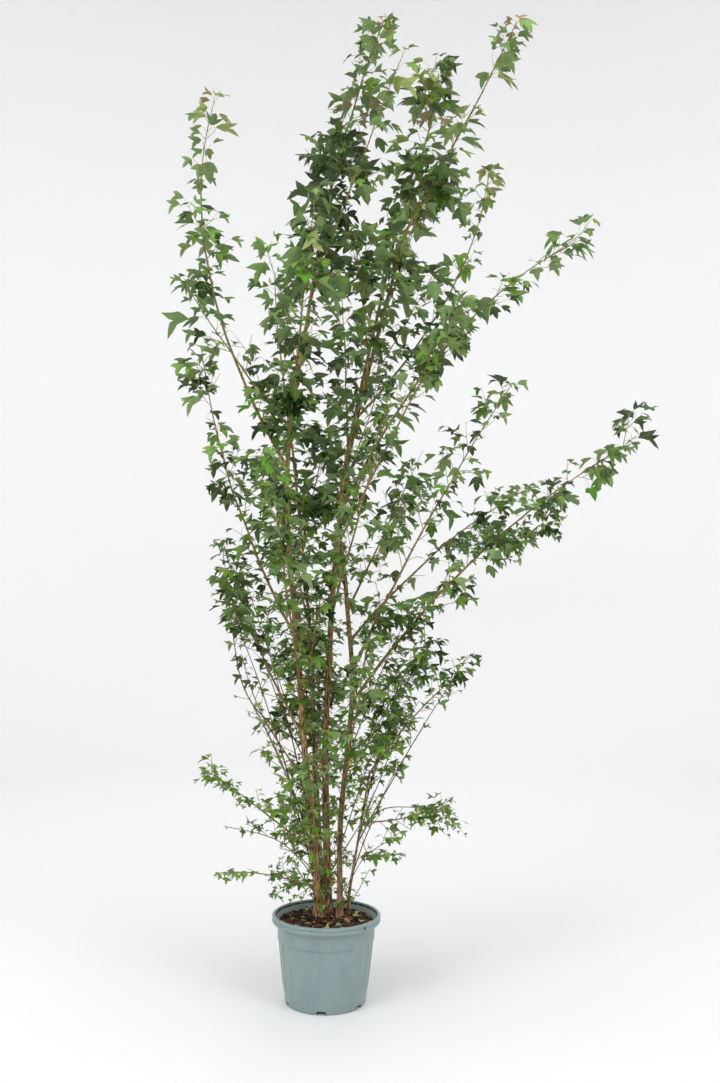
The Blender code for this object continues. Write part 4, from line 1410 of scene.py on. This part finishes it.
for corner in pot_shape.verts:
    radius = math.hypot(corner.co.x, corner.co.y)
    height = corner.co.z
    if radius < inner_radius(height) + 0.0005:
        continue
    rib = rib_share(math.atan2(corner.co.y, corner.co.x) - PANEL_TURN)
    if 0.0 < height < 0.2405:
        swell = 1 + RIB_HEIGHT * rib * smooth_step((height - RIB_FOOT) / RIB_RUN) / radius
        corner.co.x *= swell
        corner.co.y *= swell
    if 0.236 < height < 0.245:
        corner.co.z -= EDGE_WAVE * rib
pot = finished("nursery_pot", pot_shape, [], 40)
print(f"pot: {triangles(pot)} triangles")

# %% [markdown]
# Water drains through six slots at the foot, each cut by a rounded block that goes in far enough to leave
# a dark hollow. One small hole in the front was left by a knock.

# %% The pot's drain slots
SLOTS = 6
SLOT_TURN = math.radians(-94)
SLOT_WIDTH = 0.036
SLOT_HEIGHT = 0.015
SLOT_DEPTH = 0.036
HOLE_RADIUS = 0.0028
HOLE_TURN = math.radians(-87)
HOLE_HEIGHT = 0.113

cutter_shape = bmesh.new()
for index in range(SLOTS):
    turn = Matrix.Rotation(SLOT_TURN + math.tau / SLOTS * index, 4, "Z")
    place = Matrix.Translation((FOOT_RADIUS, 0.0, 0.0))
    size = Matrix.Diagonal((SLOT_DEPTH * 2, SLOT_WIDTH, SLOT_HEIGHT * 2, 1.0))
    made = bmesh.ops.create_cube(cutter_shape, size=1.0, matrix=turn @ place @ size)
    edges = ring_edges(made["verts"])
    outward = turn @ Vector((1.0, 0.0, 0.0))
    radial = []
    for edge in edges:
        way = (edge.verts[1].co - edge.verts[0].co).normalized()
        if abs(way.dot(outward)) > 0.9:
            radial.append(edge)
    bmesh.ops.bevel(
        cutter_shape,
        geom=radial,
        offset=0.003,
        offset_type="OFFSET",
        affect="EDGES",
        segments=3,
        profile=0.5,
        material=-1,
    )
hole = Matrix.Rotation(HOLE_TURN, 4, "Z") @ Matrix.Translation((outer_radius(HOLE_HEIGHT), 0.0, HOLE_HEIGHT))
bmesh.ops.create_cone(
    cutter_shape,
    cap_ends=True,
    segments=16,
    radius1=HOLE_RADIUS,
    radius2=HOLE_RADIUS,
    depth=POT_WALL * 2,
    matrix=hole @ Matrix.Rotation(math.pi / 2, 4, "Y"),
)
cutter = finished("slot_cutter", cutter_shape, [])
cut = pot.modifiers.new("slots", "BOOLEAN")
cut.operation = "DIFFERENCE"
cut.solver = "EXACT"
cut.object = cutter
seen = pot.evaluated_get(bpy.context.evaluated_depsgraph_get())
pot_mesh = bpy.data.meshes.new_from_object(seen)
pot.modifiers.clear()
pot.data = pot_mesh
bpy.data.objects.remove(cutter)
pot_mesh.set_sharp_from_angle(angle=math.radians(40))
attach(pot, "root")
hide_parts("pot")
print(f"pot with its slots: {triangles(pot)} triangles")

# %% [markdown]
# The plastic is a satin grey-green. Dust lies on it in patches, dry water marks run over it, and inside
# the lip it is dark, partly with soil and partly with painted shade of the inner wall.

# %% The pot's plastic
pot_skin = surface("pot_plastic", (0.23, 0.31, 0.31), 0.36, 0.5)
blotches = pattern(pot_skin, 14.0, (1.0, 1.0, 0.6), 5.0)
grime = pattern(pot_skin, 60.0, (1.0, 1.0, 0.25), 6.0)
clean = ramp(pot_skin, blotches, [(0.30, (0.195, 0.270, 0.272)), (0.70, (0.235, 0.312, 0.314))])
dusty = ramp(pot_skin, blotches, [(0.30, (0.24, 0.295, 0.285)), (0.70, (0.28, 0.335, 0.322))])
share = ramp(pot_skin, grime, [(0.48, (0, 0, 0)), (0.80, (1, 1, 1))])
paint(pot_skin, blend_colours(pot_skin, share, clean, dusty))
fine = pattern(pot_skin, 900.0, (1.0, 1.0, 1.0), 2.0)
relief(pot_skin, fine, 0.0002, 0.35)
sheen = pot_skin.node_tree.nodes.new("ShaderNodeMapRange")
sheen.inputs["To Min"].default_value = 0.27
sheen.inputs["To Max"].default_value = 0.48
pot_skin.node_tree.links.new(grime, sheen.inputs["Value"])
pot_skin.node_tree.links.new(
    sheen.outputs["Result"], pot_skin.node_tree.nodes["Principled BSDF"].inputs["Roughness"]
)
# Painted shade with soil: the plastic inside the lip is darkened, with brown soil in patches and the dark teal
# of painted shade between them
soiled_shaded_skin = surface("pot_plastic_soiled", (0.060, 0.080, 0.078), 0.7, 0.3)
soil_and_shade_pattern = pattern(soiled_shaded_skin, 45.0, (1.0, 1.0, 1.0), 5.0)
paint(soiled_shaded_skin, ramp(soiled_shaded_skin, soil_and_shade_pattern, [(0.40, (0.035, 0.030, 0.024)), (0.60, (0.085, 0.115, 0.112))]))
pot.data.materials.append(pot_skin)
pot.data.materials.append(soiled_shaded_skin)
# The faces inside the lip get the darkened plastic: soil and painted shade
for face in pot.data.polygons:
    inside = math.hypot(face.center.x, face.center.y) < LIP_RADIUS - LIP_WIDTH + 0.001
    if inside and 0.245 < face.center.z < 0.328 and face.normal.dot(face.center) < 0:
        face.material_index = 1
print("the pot has its plastic, soiled inside the lip")

# %% [markdown]
# Potting mix is bark mulch, heaped a little round the stems. A turned body gives its mound and its rough
# surface, and loose chips of many sizes and browns lie on it, with a few fallen leaves.

# %% The potting mix
MIX_EDGE = 0.304
MOUND_RADIUS = 0.105


def mix_height(x, y):
    """The height of the mix's surface at a place: a mound round the stems, lower by the wall."""
    radius = math.hypot(x, y)
    mound = 1 / (1 + (radius / MOUND_RADIUS) ** 4)
    lumps = 0.0035 * noise.noise(Vector((x * 35, y * 35, 3.0)))
    crumbs = 0.002 * noise.noise(Vector((x * 110, y * 110, 8.0)))
    return MIX_EDGE + (MIX_TOP - MIX_EDGE) * mound + lumps + crumbs


mix_profile = [(0.0, 0.014), (inner_radius(0.014) - 0.0005, 0.014), (inner_radius(0.15) - 0.0005, 0.15)]
edge_radius = inner_radius(MIX_EDGE) - 0.0005
mix_profile += [(inner_radius(0.29) - 0.0005, 0.29)]
mix_profile += [(edge_radius * (1 - step / 34), 0.300) for step in range(35)]
mix_shape = spun(mix_profile, 144)
for corner in mix_shape.verts:
    if corner.co.z > 0.295:
        corner.co.z = mix_height(corner.co.x, corner.co.y)
mix_skin = surface("potting_mix", (0.045, 0.026, 0.018), 0.95, 0.15)
crumbs = pattern(mix_skin, 160.0, (1.0, 1.0, 1.0), 6.0)
mix_stops = [(0.35, (0.008, 0.005, 0.004)), (0.58, (0.030, 0.017, 0.011)), (0.78, (0.09, 0.052, 0.032))]
paint(mix_skin, ramp(mix_skin, crumbs, mix_stops))
relief(mix_skin, crumbs, 0.003, 1.0)
mix = finished("potting_mix_body", mix_shape, [mix_skin], 80)
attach(mix, "root")
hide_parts("potting_mix")
print(f"mix: {triangles(mix)} triangles")

# %% [markdown]
# A bark chip is a flat splinter with broken ends. Each shape starts as a cube that is squeezed, split once
# and shaken, so that no two of the four look alike.

# %% Bark chips and fallen leaves
CHIPS = 1700
CHIP_TINTS = {
    "chips_dark": (0.022, 0.012, 0.008),
    "chips_brown": (0.065, 0.032, 0.018),
    "chips_red": (0.17, 0.070, 0.036),
    "chips_pale": (0.34, 0.235, 0.145),
}
CHIP_SHARES = (0.46, 0.34, 0.12, 0.08)
CHIP_SHARES_BY_STEMS = (0.20, 0.30, 0.28, 0.22)
BY_STEMS = 0.085
SPLINTER_TURN = math.radians(-45)
SPLINTER_LENGTH = 0.013


def chip_shape(rng):
    """The corners and triangles of one splinter of bark, 1 long."""
    shape = bmesh.new()
    bmesh.ops.create_cube(shape, size=1.0)
    bmesh.ops.subdivide_edges(shape, edges=shape.edges, cuts=1, use_grid_fill=True)
    bmesh.ops.scale(shape, verts=shape.verts, vec=(0.42, 1.0, 0.20))
    for corner in shape.verts:
        corner.co *= 1 - 0.35 * (corner.co.y * 2) ** 2 * rng.random()
        corner.co += Vector((rng.gauss(0, 0.035), rng.gauss(0, 0.04), rng.gauss(0, 0.022)))
    bmesh.ops.triangulate(shape, faces=shape.faces)
    bmesh.ops.recalc_face_normals(shape, faces=shape.faces)
    points = np.array([corner.co[:] for corner in shape.verts])
    faces = np.array([[corner.index for corner in face.verts] for face in shape.faces])
    shape.free()
    return points, faces, np.zeros(len(faces))


rng = random.Random(SEED + 1)
CHIP_SHAPES = [chip_shape(rng) for _ in range(4)]
chip_spots = defaultdict(list)
for _ in range(CHIPS):
    radius = (edge_radius - 0.006) * math.sqrt(rng.random())
    turn = rng.uniform(0, math.tau)
    x, y = radius * math.cos(turn), radius * math.sin(turn)
    size = rng.choices((0.008, 0.013, 0.020, 0.030), weights=(5, 7, 4, 1))[0] * rng.uniform(0.8, 1.2)
    way = rng.uniform(0, math.tau)
    along = Vector((math.cos(way), math.sin(way), rng.gauss(0, 0.22))).normalized()
    facing = Vector((rng.gauss(0, 0.28), rng.gauss(0, 0.28), 1.0))
    place = Vector((x, y, mix_height(x, y) + size * 0.06))
    shares = CHIP_SHARES_BY_STEMS if math.hypot(x - 0.02, y) < BY_STEMS else CHIP_SHARES
    tint = rng.choices(list(CHIP_TINTS), weights=shares)[0]
    chip_spots[tint].append((rng.randrange(4), place, turned(along, facing, size)))
lip_way = Vector((math.cos(SPLINTER_TURN), math.sin(SPLINTER_TURN), 0.0))
splinter = turned(Vector((0.0, 0.0, 1.0)), lip_way, SPLINTER_LENGTH)
chip_spots["chips_brown"].append((0, lip_way * LIP_RADIUS + Vector((0.0, 0.0, 0.318)), splinter))
for tint, spots in chip_spots.items():
    skin = surface(tint, CHIP_TINTS[tint], 0.9, 0.2)
    joined(tint, CHIP_SHAPES, spots, [skin])

# Each fallen leaf: its place, its turn in degrees, its length and its tint
Fallen = namedtuple("Fallen", "x y turn size tint")
FALLEN_LEAVES = (
    Fallen(-0.160, -0.065, 200, 0.040, "light"),
    Fallen(-0.092, -0.020, 80, 0.036, "mid"),
    Fallen(-0.010, 0.050, 250, 0.030, "light"),
    Fallen(0.045, -0.110, 40, 0.044, "light"),
    Fallen(0.012, -0.150, 150, 0.034, "young"),
    Fallen(0.104, 0.020, 10, 0.040, "bright"),
    Fallen(0.138, -0.050, 70, 0.034, "light"),
    Fallen(0.166, -0.060, 310, 0.034, "young"),
    Fallen(-0.120, 0.090, 120, 0.034, "mid"),
    Fallen(0.020, 0.150, 30, 0.038, "mid"),
    Fallen(0.130, 0.100, 190, 0.036, "yellow"),
    Fallen(-0.080, 0.140, 260, 0.034, "light"),
)
fallen_spots = defaultdict(list)
for leaf in FALLEN_LEAVES:
    way = math.radians(leaf.turn)
    along = Vector((math.cos(way), math.sin(way), 0.10)).normalized()
    facing = Vector((rng.gauss(0, 0.3), rng.gauss(0, 0.3), 1.0))
    place = Vector((leaf.x, leaf.y, mix_height(leaf.x, leaf.y) + 0.006))
    fallen_spots[leaf.tint].append((rng.randrange(5), place, turned(along, facing, leaf.size)))
for tint, spots in fallen_spots.items():
    upper, lower, rib = leaf_skins[tint]
    joined(f"fallen_leaves_{tint}", SMALL_LEAVES, spots, [lower, upper, rib])

# %% [markdown]
# The plant stands on a pale floor that curves up into a pale wall all round, so there is a plain background
# from every side. Large soft lights give it the even light of a studio, and a faint glow of the paint,
# which grows with the distance and up the wall, keeps the far wall as pale as the floor.

# %% The studio
FLOOR_RADIUS = 6.5
SWEEP_RADIUS = 5.0
WALL_HEIGHT = 18.0
NEAR_GLOW = 0.012
FAR_GLOW = 0.095
WALL_GLOW = 0.068
WALL_FOOT = 2.5
GLOW_START = 1.5
GLOW_FULL = 16.0

sweep = [(0.0, 0.0), (2.0, 0.0), (FLOOR_RADIUS, 0.0)]
sweep += arc((FLOOR_RADIUS, SWEEP_RADIUS), SWEEP_RADIUS, -86, 0, 20)
sweep += [(FLOOR_RADIUS + SWEEP_RADIUS, WALL_HEIGHT)]
stage_shape = bmesh.new()
corners = [stage_shape.verts.new((radius, 0.0, height)) for radius, height in sweep]
edges = [stage_shape.edges.new(pair) for pair in zip(corners, corners[1:])]
bmesh.ops.spin(
    stage_shape,
    geom=corners + edges,
    axis=(0, 0, 1),
    cent=(0, 0, 0),
    angle=math.tau,
    steps=96,
    use_merge=True,
)
bmesh.ops.remove_doubles(stage_shape, verts=stage_shape.verts, dist=0.0001)
bmesh.ops.reverse_faces(stage_shape, faces=stage_shape.faces)
studio_paint = surface("studio_paint", (0.85, 0.85, 0.85), 0.9, 0.1)
glow = studio_paint.node_tree.nodes["Principled BSDF"]
glow.inputs["Emission Color"].default_value = (1.0, 1.0, 1.0, 1.0)
studio_nodes = studio_paint.node_tree.nodes
studio_links = studio_paint.node_tree.links
places = studio_nodes.new("ShaderNodeTexCoord")
away = studio_nodes.new("ShaderNodeVectorMath")
away.operation = "LENGTH"
along_floor = studio_nodes.new("ShaderNodeMapRange")
along_floor.interpolation_type = "SMOOTHSTEP"
along_floor.inputs["From Min"].default_value = GLOW_START
along_floor.inputs["From Max"].default_value = GLOW_FULL
along_floor.inputs["To Min"].default_value = NEAR_GLOW
along_floor.inputs["To Max"].default_value = FAR_GLOW
up_wall = height_share(studio_paint, 0.0, WALL_FOOT)
whole_glow = studio_nodes.new("ShaderNodeMath")
whole_glow.operation = "MULTIPLY_ADD"
whole_glow.inputs[1].default_value = WALL_GLOW
studio_links.new(places.outputs["Object"], away.inputs[0])
studio_links.new(away.outputs["Value"], along_floor.inputs["Value"])
studio_links.new(up_wall, whole_glow.inputs[0])
studio_links.new(along_floor.outputs["Result"], whole_glow.inputs[2])
studio_links.new(whole_glow.outputs["Value"], glow.inputs["Emission Strength"])
stage_mesh = bpy.data.meshes.new("studio")
stage_shape.to_mesh(stage_mesh)
stage_shape.free()
stage_mesh.shade_smooth()
stage_mesh.materials.append(studio_paint)
studio = bpy.data.objects.new("studio", stage_mesh)
bpy.context.scene.collection.objects.link(studio)

LIGHTS = {
    "light_top": ((0.0, -1.8, 9.6), 6.0, 290),
    "light_left": ((-5.8, -6.2, 6.4), 4.5, 260),
    "light_right": ((6.2, -5.6, 6.0), 4.5, 172),
    "light_back": ((0.8, 7.2, 6.4), 4.5, 90),
}
for name, (place, size, power) in LIGHTS.items():
    light = bpy.data.lights.new(name, "AREA")
    light.shape = "SQUARE"
    light.size = size
    light.energy = power
    lamp = bpy.data.objects.new(name, light)
    lamp.location = place
    lamp.rotation_euler = (Vector((0.0, 0.0, 1.6)) - Vector(place)).to_track_quat("-Z", "Y").to_euler()
    bpy.context.scene.collection.objects.link(lamp)
world = bpy.data.worlds.new("studio_air")
bpy.context.scene.world = world
world.use_nodes = True
world.node_tree.nodes["Background"].inputs["Color"].default_value = (0.95, 0.97, 1.0, 1.0)
world.node_tree.nodes["Background"].inputs["Strength"].default_value = 0.35
bpy.context.scene.view_settings.view_transform = "Standard"

# %% [markdown]
# The camera stands about four metres in front at chest height, tilted up a little, as the photograph's did.

# %% The camera and the end
camera_data = bpy.data.cameras.new("camera")
camera_data.lens = 33.65
camera_data.sensor_width = 36.0
camera_data.sensor_fit = "AUTO"
camera = bpy.data.objects.new("camera", camera_data)
tilt = Matrix.Rotation(math.radians(94.62), 4, "X")
roll = Matrix.Rotation(math.radians(0.59), 4, "Z")
camera.matrix_world = Matrix.Translation((0.117, -4.087, 1.470)) @ tilt @ roll
bpy.context.scene.collection.objects.link(camera)
bpy.context.scene.camera = camera
